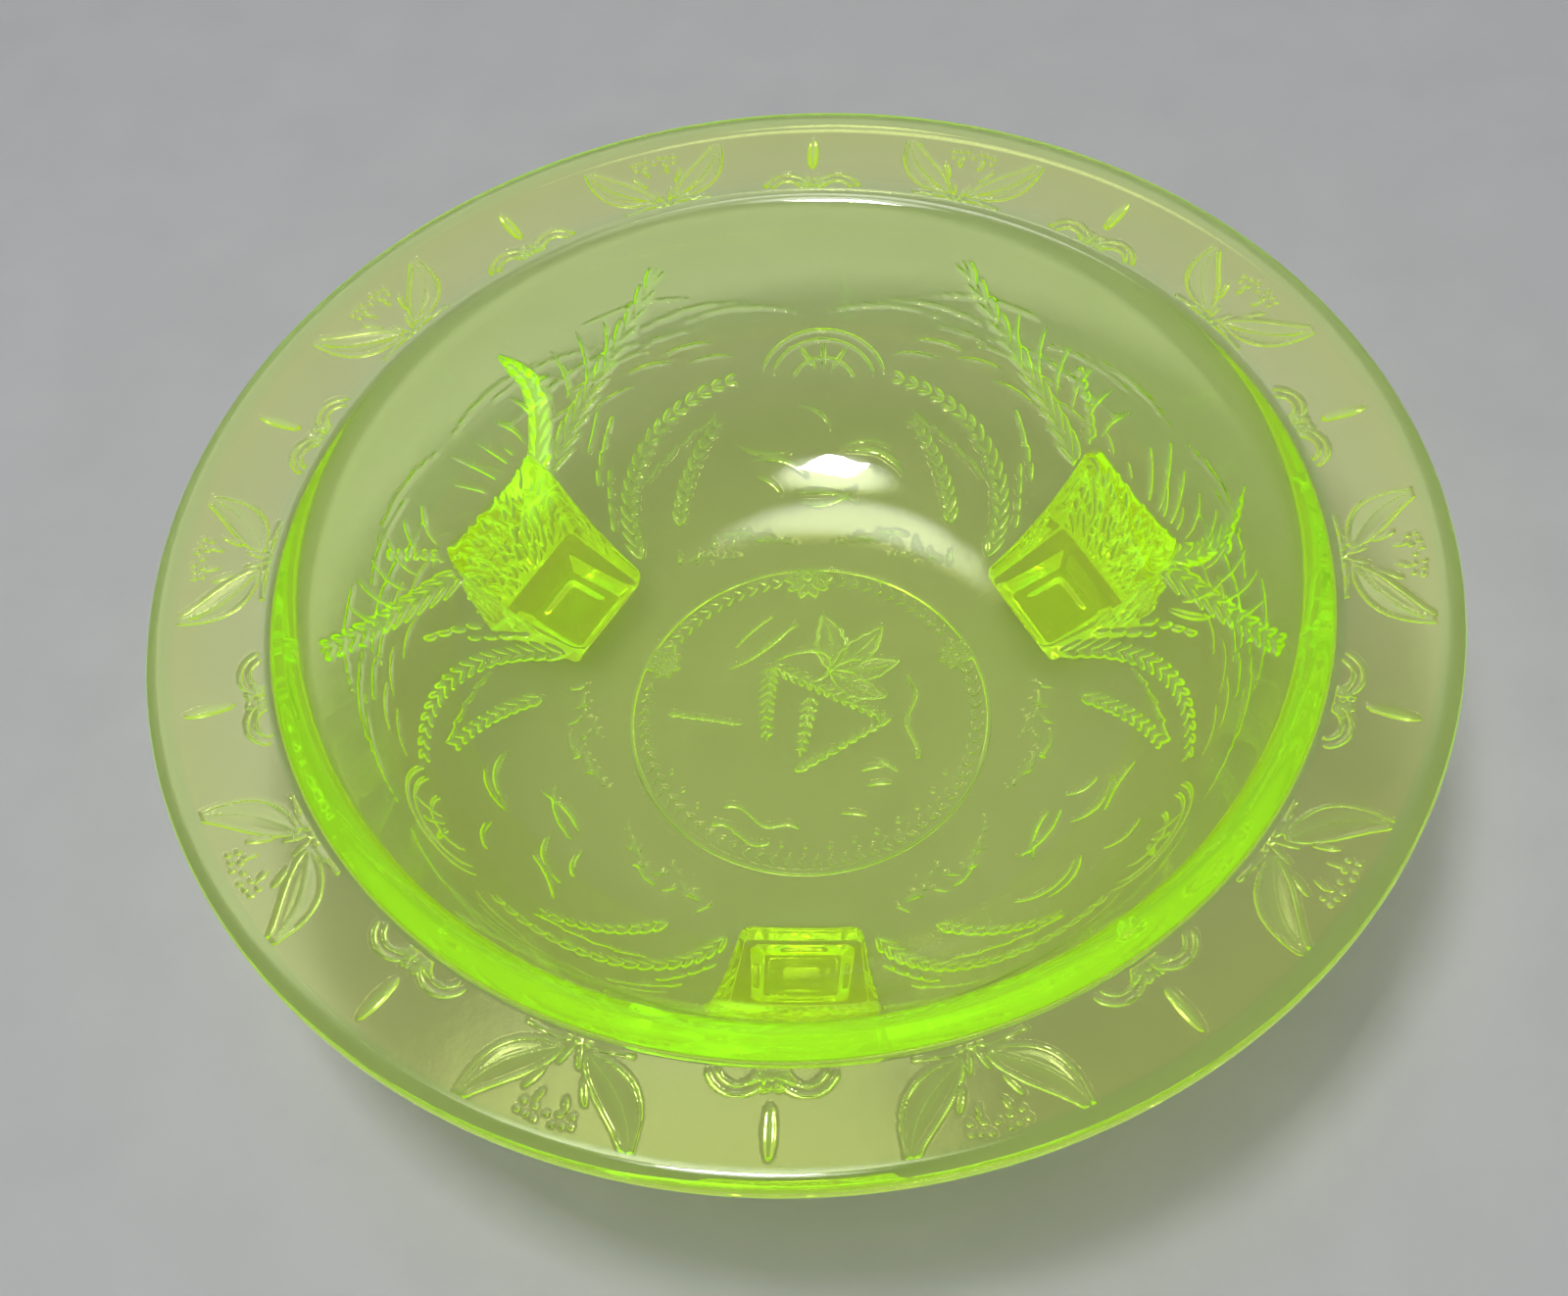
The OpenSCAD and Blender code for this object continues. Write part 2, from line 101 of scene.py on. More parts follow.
def slope_run(degrees):
    """Unit step up a slope, in radius and height."""
    return np.array([math.cos(math.radians(degrees)), math.sin(math.radians(degrees))])


def bend_point(radius, degrees):
    """A point on a circle round the bend's centre, at an angle from straight down."""
    turn = np.radians(degrees)
    return np.stack([
        BEND_CENTRE[0] + radius * np.sin(turn), BEND_CENTRE[1] - radius * np.cos(turn)
    ], -1)


INNER_END = bend_point(BEND_R, WALL_SLOPE)
OUTER_END = bend_point(OUTER_BEND_R, NECK_SLOPE)
WALL_RUN = slope_run(WALL_SLOPE)
NECK_RUN = slope_run(NECK_SLOPE)
LIP_START = INNER_END + WALL_RUN * (HEIGHT - LIP_DROP - INNER_END[1]) / WALL_RUN[1]
LIP_END = np.array([LIP_START[0] + LIP_RUN, HEIGHT - BRIM_FALL])
FILLET_CENTRE = np.array([NECK_OUT_R, BRIM_UNDER - FILLET_R])
BEND_ARC = OUTER_BEND_R * math.radians(NECK_SLOPE)  # length of the bend's outside


def brim_top(radius):
    """Height of the brim's top."""
    return HEIGHT - BRIM_FALL * (CREASE_R - radius) / (CREASE_R - LIP_END[0])


def outside(arc):
    """Radius, height and outward normal on the outside, by arc length from the floor."""
    arc = np.asarray(arc, float)
    turn = np.degrees(np.clip(arc, 0, BEND_ARC) / OUTER_BEND_R)
    point = bend_point(OUTER_BEND_R, turn)
    beyond = np.clip(arc - BEND_ARC, 0, None)
    point = point + beyond[..., None] * NECK_RUN
    normal = np.stack([np.sin(np.radians(turn)), -np.cos(np.radians(turn))], -1)
    return point, normal


def arc_at(radius):
    """Arc length from the floor at a radius on the outside."""
    radius = np.asarray(radius, float)
    turn = np.arcsin(np.clip((radius - BEND_CENTRE[0]) / OUTER_BEND_R, 0, 1))
    on_bend = OUTER_BEND_R * turn
    on_neck = BEND_ARC + (radius - OUTER_END[0]) / NECK_RUN[0]
    return np.where(radius < OUTER_END[0], on_bend, on_neck)


# ---- pressed ornament
# Each function takes coordinates in millimetres and gives the ornament's height there.

RIDGE_ROUND = 0.2  # how rounded a ridge's top is, from 0 to 1
LINE_FADE = 12.0  # degrees over which the end of a circle's line fades
LEAF_BULGE = (0.85, 0.9)  # powers that place a leaf's widest part and fill it out
LEAF_SWAY = 0.35  # how far a hooked leaf first bends the other way
TOOTH_DEPTH = 0.22  # depth of a leaf's teeth, as a share of its half width
MIDRIB_END = 0.97  # where a midrib ends, as a share of the leaf's length
LEAFLET_SAG = 0.15  # bow of the leaflets of a frond


def highest(parts):
    """The height of the highest part at each point."""
    height = 0.0
    for part in parts:
        height = np.maximum(height, part)
    return height


def polar(radius, degrees):
    """A point at a distance and a direction."""
    return radius * np.array([math.cos(math.radians(degrees)), math.sin(math.radians(degrees))])


def local(x, y, place, degrees):
    """Coordinates seen from a place, turned so that x runs along a direction."""
    turn = math.radians(degrees)
    dx, dy = x - place[0], y - place[1]
    along = dx * math.cos(turn) + dy * math.sin(turn)
    return along, dy * math.cos(turn) - dx * math.sin(turn)


def ridge(distance, half_width):
    """A ridge like a roof with a rounded top, and a height of 1 on its line."""
    return np.clip(1 - np.hypot(distance / half_width, RIDGE_ROUND), 0, None) / (1 - RIDGE_ROUND)


def dash(x, y, place, degrees, length, width, sag=0.0):
    """A pointed stroke from a place, bowed sideways by sag."""
    along, across = local(x, y, place, degrees)
    share = np.clip(along / length, 0, 1)
    arch = 4 * share * (1 - share)
    taper = np.sqrt(np.clip(arch, 1e-6, None))
    inside = (along > 0) & (along < length)
    return np.where(inside, ridge(across - sag * arch, width / 2 * taper) * np.sqrt(taper), 0)


def dot(x, y, place, radius):
    """A round bead."""
    return ridge(np.hypot(x - place[0], y - place[1]), radius)


def ring_line(x, y, place, radius, width, middle=0.0, spread=180.0):
    """A stretch of a circle's line, with its middle at a direction."""
    along, across = local(x, y, place, middle)
    angle = np.degrees(np.abs(np.arctan2(across, along)))
    fade = np.clip((spread - angle) / LINE_FADE, 0, 1)
    return ridge(np.hypot(along, across) - radius, width / 2) * fade


def leaf(x, y, place, degrees, length, width, line=0.7, hook=0.0, teeth=0, body=0.3):
    """A leaf drawn by its raised outline and midrib, over a low swelling."""
    along, across = local(x, y, place, degrees)
    share = np.clip(along / length, 1e-3, 1 - 1e-3)
    middle = hook * (share ** 4 - LEAF_SWAY * np.sin(math.pi * share))
    half = width / 2 * np.sin(math.pi * share ** LEAF_BULGE[0]) ** LEAF_BULGE[1]
    if teeth:
        half = half * (1 + TOOTH_DEPTH * np.abs(np.sin(math.pi * teeth * share)))
    off = across - middle
    outline = ridge(np.abs(off) - half, line / 2)
    midrib = ridge(off, line * 0.4) * np.clip(6 * (MIDRIB_END - share), 0, 1)
    swelling = body * np.clip(1 - (off / np.maximum(half, 0.05)) ** 2, 0, 1)
    inside = (along > 0) & (along < length)
    return np.where(inside, highest([outline, 0.8 * midrib, swelling]), 0)


def frond(x, y, place, degrees, length, leaflets, leaflet, lean=38, curl=0.0, stem=0.0):
    """A fern frond: pairs of short strokes along a line that may curl."""
    parts = []
    spot = np.array(place, float)
    step = length / leaflets
    turn = degrees
    for i in range(leaflets):
        taper = 1 - 0.5 * i / leaflets
        for side in (-1, 1):
            parts.append(dash(
                x, y, spot, turn + side * lean, leaflet[0] * taper, leaflet[1], side * LEAFLET_SAG))
        if stem:
            parts.append(0.8 * dash(x, y, spot, turn, step * 1.3, stem))
        spot = spot + step * polar(1, turn)
        turn += curl / leaflets
    return highest(parts)


def daisy(x, y, place, degrees, petals, inner, length, width, line=0.5):
    """A flower whose petals are drawn by their outlines."""
    parts = [dot(x, y, place, inner * 0.8)]
    for i in range(petals):
        turn = degrees + i * 360 / petals
        parts.append(leaf(x, y, place + polar(inner, turn), turn, length, width, line, body=0.35))
    return highest(parts)


# ---- ornament of the brim

SPRAYS = 10
SPRAY_TURN = -110.3  # degrees, direction of one spray
SPRAY_R = 104.3  # centre of a spray
BOW_R = 103.6  # centre of the bow between two sprays
BRIM_RELIEF = 1.1
# A stroke of a motif: how far beyond the motif's centre and how far to the side it
# starts, its direction in degrees, its length and its width
SIDE_STROKES = ((6, 3.4, 26, 5, 1.2), (0.5, 0.5, 18, 4.6, 0.9), (9.5, 2.0, 16, 3.2, 0.9))
CENTRE_STROKES = ((0, 0, 150, 3.4, 1.3), (0, 0, 180, 3.4, 1.3), (0, 0, 210, 3.4, 1.3))
# Rows of berries on each side: distance from the spray's centre, step sideways, and number
BERRY_ROWS = ((13.2, 2.2, 2), (15.2, 1.6, 3))
BERRY_R = 0.62
BOW_LOOPS = ((5.0, 0.9), (3.3, 0.8))  # radius and width of each loop's line
BOW_LOOP_PLACE = (-0.6, 5.6)  # middle of a loop, from the bow's centre
BOW_LOOP_SPREAD = 82  # half of the angle that a loop goes round


def spray(x, y):
    """Parts of a spray of two large leaves, small petals, stamens and berries, along +x."""
    for side in (-1, 1):
        v = side * y
        yield leaf(x, v, (SPRAY_R + 1.6, 2.0), 50, 20.5, 6.4, 0.9, hook=-3.2, body=0.42)
        yield leaf(x, v, (SPRAY_R, 1.2), 100, 8.5, 2.6, 0.7, hook=-1)
        for out, aside, degrees, length, width in SIDE_STROKES:
            yield dash(x, v, (SPRAY_R + out, aside), degrees, length, width)
        for out, step, count in BERRY_ROWS:
            for place in range(1, count + 1):
                yield dot(x, v, (SPRAY_R + out - 0.35 * place, place * step), BERRY_R)
    for out, aside, degrees, length, width in CENTRE_STROKES:
        yield dash(x, y, (SPRAY_R + out, aside), degrees, length, width)
    yield dot(x, y, (SPRAY_R + 13.4, 0), 0.6)
    yield dot(x, y, (SPRAY_R, 0), 1.0)


def bow(x, y):
    """Parts of a bow of nested loops with a small flower, and a bud beyond it, along +x."""
    for side in (-1, 1):
        for radius, width in BOW_LOOPS:
            middle = (BOW_R + BOW_LOOP_PLACE[0], BOW_LOOP_PLACE[1])
            yield ring_line(x, side * y, middle, radius, width, 0, BOW_LOOP_SPREAD)
        yield dash(x, side * y, (BOW_R + 1.0, 0.8), 62, 3.4, 1.4)
    yield daisy(x, y, (BOW_R + 1.6, 0.0), 36, 5, 0.9, 1.8, 1.3)
    yield 1.1 * dash(x, y, (BOW_R + 6.0, 0.0), 0, 9.5, 2.6)
    yield dot(x, y, (BOW_R + 7.4, 0.0), 1.1)


def brim_relief(azimuth, radius):
    """Height of the brim's ornament at directions in degrees and radii."""
    step = 360 / SPRAYS
    motifs = []
    for motif, first in ((spray, SPRAY_TURN), (bow, SPRAY_TURN + step / 2)):
        off = np.radians((azimuth - first + step / 2) % step - step / 2)
        motifs.append(highest(motif(radius * np.cos(off), radius * np.sin(off))))
    return BRIM_RELIEF * highest(motifs)


# ---- ornament of the floor

FLOOR_RELIEF = 1.1
FLOOR_MARGIN = 0.3  # plain edge of the floor, and the width over which relief fades in
FLOOR_LINE = (0.9, 0.45)  # ring near the edge: how far in it lies, and half its width
WREATH_R = 36.3
WREATH_STROKES = 76
TWIG = (2.6, 0.75)  # length and width of a stroke of the wreath
TWIG_LEAN = 36
BOLD_TWIGS = (95, 150)  # directions between which the wreath stands out more
BACK_DAISY = (0.0, 36.6)
SIDE_DAISY_R = 35.6
DAISY_TURNS = (90, 24, 156)  # directions of the daisies: back, right and left
DAISY_GAP = 9  # degrees that the wreath leaves clear on each side of a daisy
SPRIG_ROOT = (5.0, 11.5)
SPRIG_LEAVES = ((92, 15, 5.6), (40, 16, 5.2), (2, 15, 5.0), (-38, 14, 4.6))
# Fronds of the medallion: root, direction, length, pairs of leaflets, length and width of
# a leaflet, its lean, the frond's curl, and the width of its stem
FLOOR_FRONDS = (
    ((-8, 13), -31, 29, 13, (3.0, 0.8), 38, 0, 0.8),
    ((-3.2, -14.3), 31, 24, 9, (3.2, 1.0), 14, 0, 0.9),
    ((-8.6, 13), -95, 19, 9, (3.4, 0.8), 34, 6, 0.7),
    ((0.5, 4.5), -100, 15, 7, (2.8, 0.7), 40, 0, 0.6),
    ((-31, 1.4), -12, 16, 7, (2.2, 0.8), 10, 0, 0.9)
)
# Single strokes: root, direction, length, width and sag
FLOOR_STROKES = (
    ((-8.0, 14.0), 8, 13, 0.9, 1.6), ((-18.3, 12.2), 39, 20, 1.0, -1.2),
    ((-16.6, 17.9), 44, 13, 1.0, 0.8), ((-14, 13.5), 41, 16, 1.0, 1.0),
    ((10.5, -15), 12, 5.5, 0.9, 0.5), ((12, -18.5), 4, 5.5, 0.9, 0.5),
    ((14, -12.5), -30, 5.5, 0.9, 0.5), ((6.5, -25), -8, 5.5, 0.9, 0.5)
)
WAVE_X = 22.3  # the upright wave beside the sprig
WAVE_STRETCH = (-12, 9.5)
RIPPLE_Y = -22.5
RIPPLES = ((-18.2, 15.5, 0.0), (-20.8, 12.0, -4.3))  # start, width, and shift in y
BEAD_R = 33
BEAD_TURNS = range(205, 340, 9)


def wreath(x, y):
    """Parts of a wreath of twigs, with a daisy at the back and one on each side."""
    for i in range(WREATH_STROKES):
        turn = i * 360 / WREATH_STROKES
        if min(abs((turn - place + 180) % 360 - 180) for place in DAISY_TURNS) < DAISY_GAP:
            continue
        strength = 0.9 if BOLD_TWIGS[0] < turn < BOLD_TWIGS[1] else 0.5
        for side in (-1, 1):
            yield strength * dash(
                x, y, polar(WREATH_R, turn), turn + 90 + side * TWIG_LEAN, TWIG[0], TWIG[1])
    yield daisy(x, y, BACK_DAISY, 0, 10, 1.2, 4.2, 1.9, 0.55)
    for turn in DAISY_TURNS[1:]:
        yield 0.7 * daisy(x, y, polar(SIDE_DAISY_R, turn), turn, 8, 1.0, 3.0, 1.5, 0.5)


def medallion(x, y):
    """Parts of the medallion inside the wreath: a sprig, ferns, strokes and waves."""
    for turn, length, width in SPRIG_LEAVES:
        yield leaf(x, y, SPRIG_ROOT, turn, length, width, 0.75, 1.2, teeth=5)
    yield ring_line(x, y, (1.0, 13.0), 4.0, 0.8, 20, 110)
    for values in FLOOR_FRONDS:
        yield frond(x, y, *values)
    for values in FLOOR_STROKES:
        yield dash(x, y, *values)
    wave = 0.9 * ridge(x - WAVE_X - 1.1 * np.sin((y - 1) * 0.42), 0.45)
    yield np.where((y > WAVE_STRETCH[0]) & (y < WAVE_STRETCH[1]), wave, 0)
    for start, width, shift in RIPPLES:
        line = RIPPLE_Y + shift - 0.42 * (x - start) + 1.2 * np.sin((x - start) * 0.55)
        yield np.where((x > start) & (x < start + width), ridge(y - line, 0.5), 0)
    for turn in BEAD_TURNS:
        yield 0.8 * dot(x, y, polar(BEAD_R, turn), 0.55)


def floor_relief(x, y):
    """Height of the ornament under the floor."""
    radius = np.hypot(x, y)
    ring = 0.8 * ridge(radius - (FLOOR_R - FLOOR_LINE[0]), FLOOR_LINE[1])
    height = highest([ring, highest(wreath(x, y)), highest(medallion(x, y))])
    return FLOOR_RELIEF * height * np.clip((FLOOR_R - FLOOR_MARGIN - radius) / FLOOR_MARGIN, 0, 1)


# ---- feet, seen from above

REST = [m for m in frame["record"]["mounts"] if m["name"].startswith("rest_foot_")]
FOOT_TURNS = {
    m["name"].replace("rest_foot_", ""): math.degrees(math.atan2(m["pos_m"][1], m["pos_m"][0]))
    for m in REST
}
FIRST_FOOT = min(FOOT_TURNS.values())
SOLE_R = size(math.hypot(*REST[0]["pos_m"][:2]))  # middle of the sole
SOLE_HALF = 8.5
SOLE_H = 6.0
SIDE_SAMPLES = 72  # points along one side of a foot
CORNER_SAMPLES = 8  # points round one of its corners
# A foot's outline: inner and outer radius, half widths there, radius of its corners
SOLE_OUTLINE = np.array([SOLE_R - SOLE_HALF, SOLE_R + SOLE_HALF, SOLE_HALF, SOLE_HALF, 1.2])
SOLE_RIM_OUTLINE = SOLE_OUTLINE + np.array([-2.3, 2.3, 2.3, 2.3, 0.2])
BASE_OUTLINE = np.array([55.4, 80.3, 12.2, 15.6, 1.4])
BLOCK_OUTLINE = np.array([53.8, 84.0, 12.2, 16.6, 1.5])
TOP_OUTLINE = np.array([52.6, 85.0, 12.3, 17.8, 3.0])
HOLLOW_OUTLINE = SOLE_OUTLINE + np.array([1.9, -1.9, -1.9, -1.9, 0.6])
HOLLOW_H = 1.1  # depth of the hollow in the sole
FOOTPRINT_MARGIN = 0.6  # plain wall round the top of a foot
BOND_FALL = 0.1  # fall of the bond for each millimetre out from a foot's top
# A horn rises from one shoulder of each foot: arc length, degrees from the foot's
# middle, half width and height
HORN = np.array([
    (40, -5, 9, 0), (44, -7, 7.5, 3), (48, -9.5, 5, 4.6), (52, -12, 4.2, 4.6),
    (57, -14.3, 3.8, 4.2), (63, -16, 3.3, 3.6), (69, -16.2, 2.7, 3), (74, -15, 1.9, 2.2),
    (78, -13.8, 0.5, 0.8)
])
HORN_SHARE = {"front": 1.0, "right": 0.3, "left": 1.0}  # the horns' heights
HORN_LEAF_STEP = 1.7  # along the horn, between the leaves on its back
HORN_LEAF = (3.4, 1.3)  # length and width of such a leaf
HORN_LEAF_LEAN = 38
HORN_LEAF_OFFSET = 0.9  # every second leaf starts this far from the horn's line
HORN_LEAF_RELIEF = 0.5
BLADE_SHARE = {"front": 0.8, "right": 1.0, "left": 0.5}  # the blades' heights
BLADE_R = 88.0  # radius at which the blades have their true width
BLADE_RELIEF = 1.2
BLADE_W = 1.9
BLADE_SAG = 0.8
# Blades of grass above each foot: degrees and arc length of the root, then of the tip
BLADES = (
    (-2, 45, 5, 56.5), (-4.5, 45.5, 3, 63.5), (-6, 46.5, 0.5, 68.5), (-7.5, 47.5, -2.5, 61),
    (-8.5, 47.5, -4, 66.5), (-1, 46, 8.5, 53.5), (-9.5, 48, -7.5, 60.5), (2.5, 46, 10.5, 58.5),
    (-19, 49, -21.5, 62), (6, 46, 14, 55), (-18.5, 45, -25, 56)
)


def foot_outline(outline):
    """Points round a foot, with the same number on each side and corner at any size."""
    inner, outer, inner_half, outer_half, rounding = outline
    corners = np.array([
        [inner, inner_half], [outer, outer_half], [outer, -outer_half], [inner, -inner_half]
    ])
    points = []
    for i, corner in enumerate(corners):
        before, after = corners[i - 1], corners[(i + 1) % 4]
        back = (before - corner) / np.linalg.norm(before - corner)
        forth = (after - corner) / np.linalg.norm(after - corner)
        opening = math.acos(float(np.clip(back @ forth, -1, 1)))
        cut = rounding / math.tan(opening / 2)
        inwards = (back + forth) / np.linalg.norm(back + forth)
        middle = corner + inwards * rounding / math.sin(opening / 2)
        start, end = corner + back * cut, corner + forth * cut
        first = math.atan2(*(start - middle)[::-1])
        sweep = (math.atan2(*(end - middle)[::-1]) - first + math.pi) % (2 * math.pi) - math.pi
        for k in range(CORNER_SAMPLES):
            turn = first + sweep * k / CORNER_SAMPLES
            points.append(middle + rounding * np.array([math.cos(turn), math.sin(turn)]))
        onwards = corners[(i + 2) % 4] - after
        onwards = onwards / np.linalg.norm(onwards)
        opening_after = math.acos(float(np.clip(-forth @ onwards, -1, 1)))
        end_after = after - forth * rounding / math.tan(opening_after / 2)
        for k in range(SIDE_SAMPLES):
            points.append(end + (end_after - end) * k / SIDE_SAMPLES)
    return np.array(points)


def from_foot(azimuth):
    """Degrees from the nearest foot. The three feet are a third of a turn apart."""
    return (azimuth - FIRST_FOOT + 60) % 120 - 60


def of_nearest_foot(azimuth, shares):
    """The share that belongs to the nearest foot."""
    share = np.zeros(np.shape(azimuth))
    for foot, turn in FOOT_TURNS.items():
        near = np.abs((azimuth - turn + 180) % 360 - 180) <= 60
        share = np.where(near, shares[foot], share)
    return share


def footprint(azimuth, radius):
    """Distance of points on the bowl from the edge of the nearest foot's top."""
    off = np.radians(from_foot(azimuth))
    rho, tau = radius * np.cos(off), radius * np.sin(off)
    inner, outer, inner_half, outer_half, corner = TOP_OUTLINE
    lean = (outer_half - inner_half) / (outer - inner)
    half = inner_half + lean * (rho - inner)
    side = (np.abs(tau) - half) * math.cos(math.atan(lean))
    end = np.maximum(inner - rho, rho - outer)
    dx, dy = side + corner, end + corner
    past = np.hypot(np.clip(dx, 0, None), np.clip(dy, 0, None))
    return past + np.minimum(np.maximum(dx, dy), 0) - corner


def foot_bond(azimuth, radius):
    """One half on the edge of a foot's top, more inside it and less outside."""
    return np.clip(0.5 - BOND_FALL * footprint(azimuth, radius), 0, 1)


def horn_height(azimuth, radius, arc):
    """Height of the horns, with fine leaves over their backs."""
    middle, half, tall = [np.interp(arc, HORN[:, 0], column) for column in HORN.T[1:]]
    tall = tall * of_nearest_foot(azimuth, HORN_SHARE)
    across = np.radians(from_foot(azimuth) - middle) * radius
    back = tall * ridge(across, half)
    height = back
    low, high = HORN[0, 0], HORN[-1, 0]
    for i, row in enumerate(np.arange(low, high, HORN_LEAF_STEP)):
        for side in (-1, 1):
            root = (HORN_LEAF_OFFSET * side * (i % 2), row)
            grown = dash(across, arc, root, 90 - side * HORN_LEAF_LEAN, HORN_LEAF[0], HORN_LEAF[1])
            height = np.maximum(height, (back + HORN_LEAF_RELIEF * grown) * (grown > 0))
    return np.where((arc > low) & (arc < high) & (np.abs(across) < half), height, 0)


def blade_height(azimuth, arc):
    """Height of the blades of grass that fan out above each foot."""
    x = np.radians(from_foot(azimuth)) * BLADE_R
    blades = []
    for first, low, last, high in BLADES:
        root = np.array([math.radians(first) * BLADE_R, low])
        run = np.array([math.radians(last) * BLADE_R, high]) - root
        heading = math.degrees(math.atan2(run[1], run[0]))
        blades.append(dash(x, arc, root, heading, np.linalg.norm(run), BLADE_W, BLADE_SAG))
    return BLADE_RELIEF * highest(blades) * of_nearest_foot(azimuth, BLADE_SHARE)


# ---- ornament of the wall

WALL_RELIEF = 1.1
PANEL_R = 76.0  # radius at which the wall's ornament has its true width
# The panel between two feet is drawn with x round the bowl and y up its wall from the
# floor. What follows is drawn on one half and mirrored on the other.
# Fronds, with the values in the order of those under the floor
PANEL_FRONDS = (
    ((59, 18), 114, 56, 17, (5.4, 1.5), 26, 62, 0),  # from a foot over to the middle
    ((43, 20), 128, 30, 10, (4.6, 1.4), 24, 14, 0),
    ((65, 47), 150, 50, 11, (9.5, 1.7), 17, -26, 0.9),  # plume from a foot to the brim
    ((66, 50), 118, 22, 8, (3.4, 1.6), 14, 10, 0)
)
# Rows of strokes: how many, the first root and the step to the next, the first direction
# and its step, the first length and its step, width and sag
PANEL_ROWS = (
    (6, (44, 61), (4.2, -1.0), (106, -7), (14, -0.6), 1.1, 1.2),  # grass above the plume
    (4, (56, 38), (-2.6, 3.2), (118, 4), (4.4, 0), 1.7, 0.3),  # leaves beside the foot
    (4, (60, 27), (-2.2, 3.4), (122, 0), (3.8, 0), 1.5, 0.3),
    (4, (46, 33), (-5.5, 2.2), (152, 0), (7.5, 0), 1.0, 0.7)
)
# Bands of uneven strokes: how many, the first x and its step, the cycles of y and of the
# direction, length, width, sag and strength
PANEL_BANDS = (
    (6, (20, 6.2), (9, 1.6, 1, 2), (158, -5, 1, 6), 5.0, 1.0, 0.4, 1.0),  # low on the wall
    (6, (2, 10.5), (64.5, 3.4, 1, 3), (5, -7, 1, 2), 24, 0.95, 1.6, 0.8),  # along the brim
    (11, (16, 4.4), (55, 2.3, 2, 5), (6, -6, 1, 3), 11, 0.9, 0.9, 0.8),
    (5, (6, 7.5), (6, 2.4, 1, 3), (10, -6, 1, 2), 12, 0.9, 0.9, 0.8)
)
# What follows lies in the middle and isn't mirrored
ARCH_CENTRE = (-2.0, 46.0)
ARCHES = ((14.0, 0.9), (11.6, 0.8), (7.0, 0.9))  # radius and width of each line
ARCH_SPREAD = 74
ARCH_RAYS = (60, 90, 120)
CURLING_LEAVES = (  # root, direction, length, width and sag
    ((-25, 27), 12, 18, 1.6, 2.6), ((-12, 22), -14, 17, 1.5, -2.4), ((2, 24), 20, 16, 1.6, 2.2),
    ((-20, 33), -8, 14, 1.2, 1.8), ((6, 31), 14, 15, 1.3, -1.9), ((-4, 36), 34, 10, 1.2, 1.4),
    ((-14, 18), 6, 20, 1.1, 1.2), ((10, 20), 40, 9, 1.2, 1.0)
)


def cycled(values, i):
    """The i-th value of a cycle: first value, step, steps moved on each time, steps in all."""
    first, step, jump, cycle = values
    return first + step * (jump * i % cycle)


def panel_half(x, y):
    """Parts of one half of the panel between two feet."""
    for values in PANEL_FRONDS:
        yield frond(x, y, *values)
    for count, first, step, turn, length, width, sag in PANEL_ROWS:
        for i in range(count):
            root = (first[0] + step[0] * i, first[1] + step[1] * i)
            yield dash(x, y, root, turn[0] + turn[1] * i, length[0] + length[1] * i, width, sag)
    for count, first, rows, turns, length, width, sag, strength in PANEL_BANDS:
        for i in range(count):
            root = (first[0] + first[1] * i, cycled(rows, i))
            yield strength * dash(x, y, root, cycled(turns, i), length, width, sag)


def panel_middle(x, y):
    """Parts of the middle of the panel: arches with rays, and curling leaves below."""
    for radius, width in ARCHES:
        yield ring_line(x, y, ARCH_CENTRE, radius, width, 90, ARCH_SPREAD)
    for turn in ARCH_RAYS:
        yield dash(x, y, (ARCH_CENTRE[0] + 0.05 * (90 - turn), ARCH_CENTRE[1] + 4), turn, 7, 1.2)
    for values in CURLING_LEAVES:
        yield dash(x, y, *values)


def wall_relief(azimuth, arc):
    """Height of the ornament between the feet, at directions in degrees and arc lengths."""
    x = np.radians(from_foot(azimuth + 60)) * PANEL_R
    halves = [highest(panel_half(side * x, arc)) for side in (-1, 1)]
    return WALL_RELIEF * highest(halves + [highest(panel_middle(x, arc))])


def outside_height(azimuth, arc):
    """All that stands out of the wall and neck: ornament clear of the feet, and horns."""
    radius = outside(arc)[0][..., 0]
    clear = np.clip(footprint(azimuth, radius) - FOOTPRINT_MARGIN, 0, 1)
    ornament = np.maximum(wall_relief(azimuth, arc), blade_height(azimuth, arc)) * clear
    return np.maximum(ornament, horn_height(azimuth, radius, arc))


# ---- meshes


class Ring:
    """One closed line of points of a shell, with each point's bond and relief, which also sets a
    painted glow.
    """

    def __init__(self, points, bond=None, relief=0.0):
        self.points = np.atleast_2d(np.asarray(points, float))
        self.count = len(self.points)
        self.bond = np.zeros(self.count) if bond is None else bond
        self.relief = np.zeros(self.count) + relief


def azimuths(count):
    return np.arange(count) * 360.0 / count


def turned(radius, height, count, bond=None, relief=0.0):
    """A ring round the bowl's axis. The radius and height may differ from point to point."""
    if np.ndim(radius) == 0 and radius < 1e-6:
        return Ring([[0, 0, height]])
    turn = np.radians(azimuths(count))
    level = np.broadcast_to(height, turn.shape)
    return Ring(np.stack([radius * np.cos(turn), radius * np.sin(turn), level], 1), bond, relief)


def strip(first, a, second, b):
    """Faces between two rings of a and b points, as an array of corner indices."""
    if a == b:
        i = np.arange(a)
        j = (i + 1) % a
        return np.stack([first + j, first + i, second + i, second + j], 1)
    if a > b:
        return strip(second, b, first, a)[:, ::-1]
    if a == 1:
        k = np.arange(b)
        return np.stack([np.full(b, first), second + k, second + (k + 1) % b], 1)
    ratio = b // a
    i = np.arange(a)
    many = (i[:, None] * ratio + np.arange(ratio + 1)[None, :]) % b + second
    return np.concatenate([first + ((i + 1) % a)[:, None], first + i[:, None], many], 1)


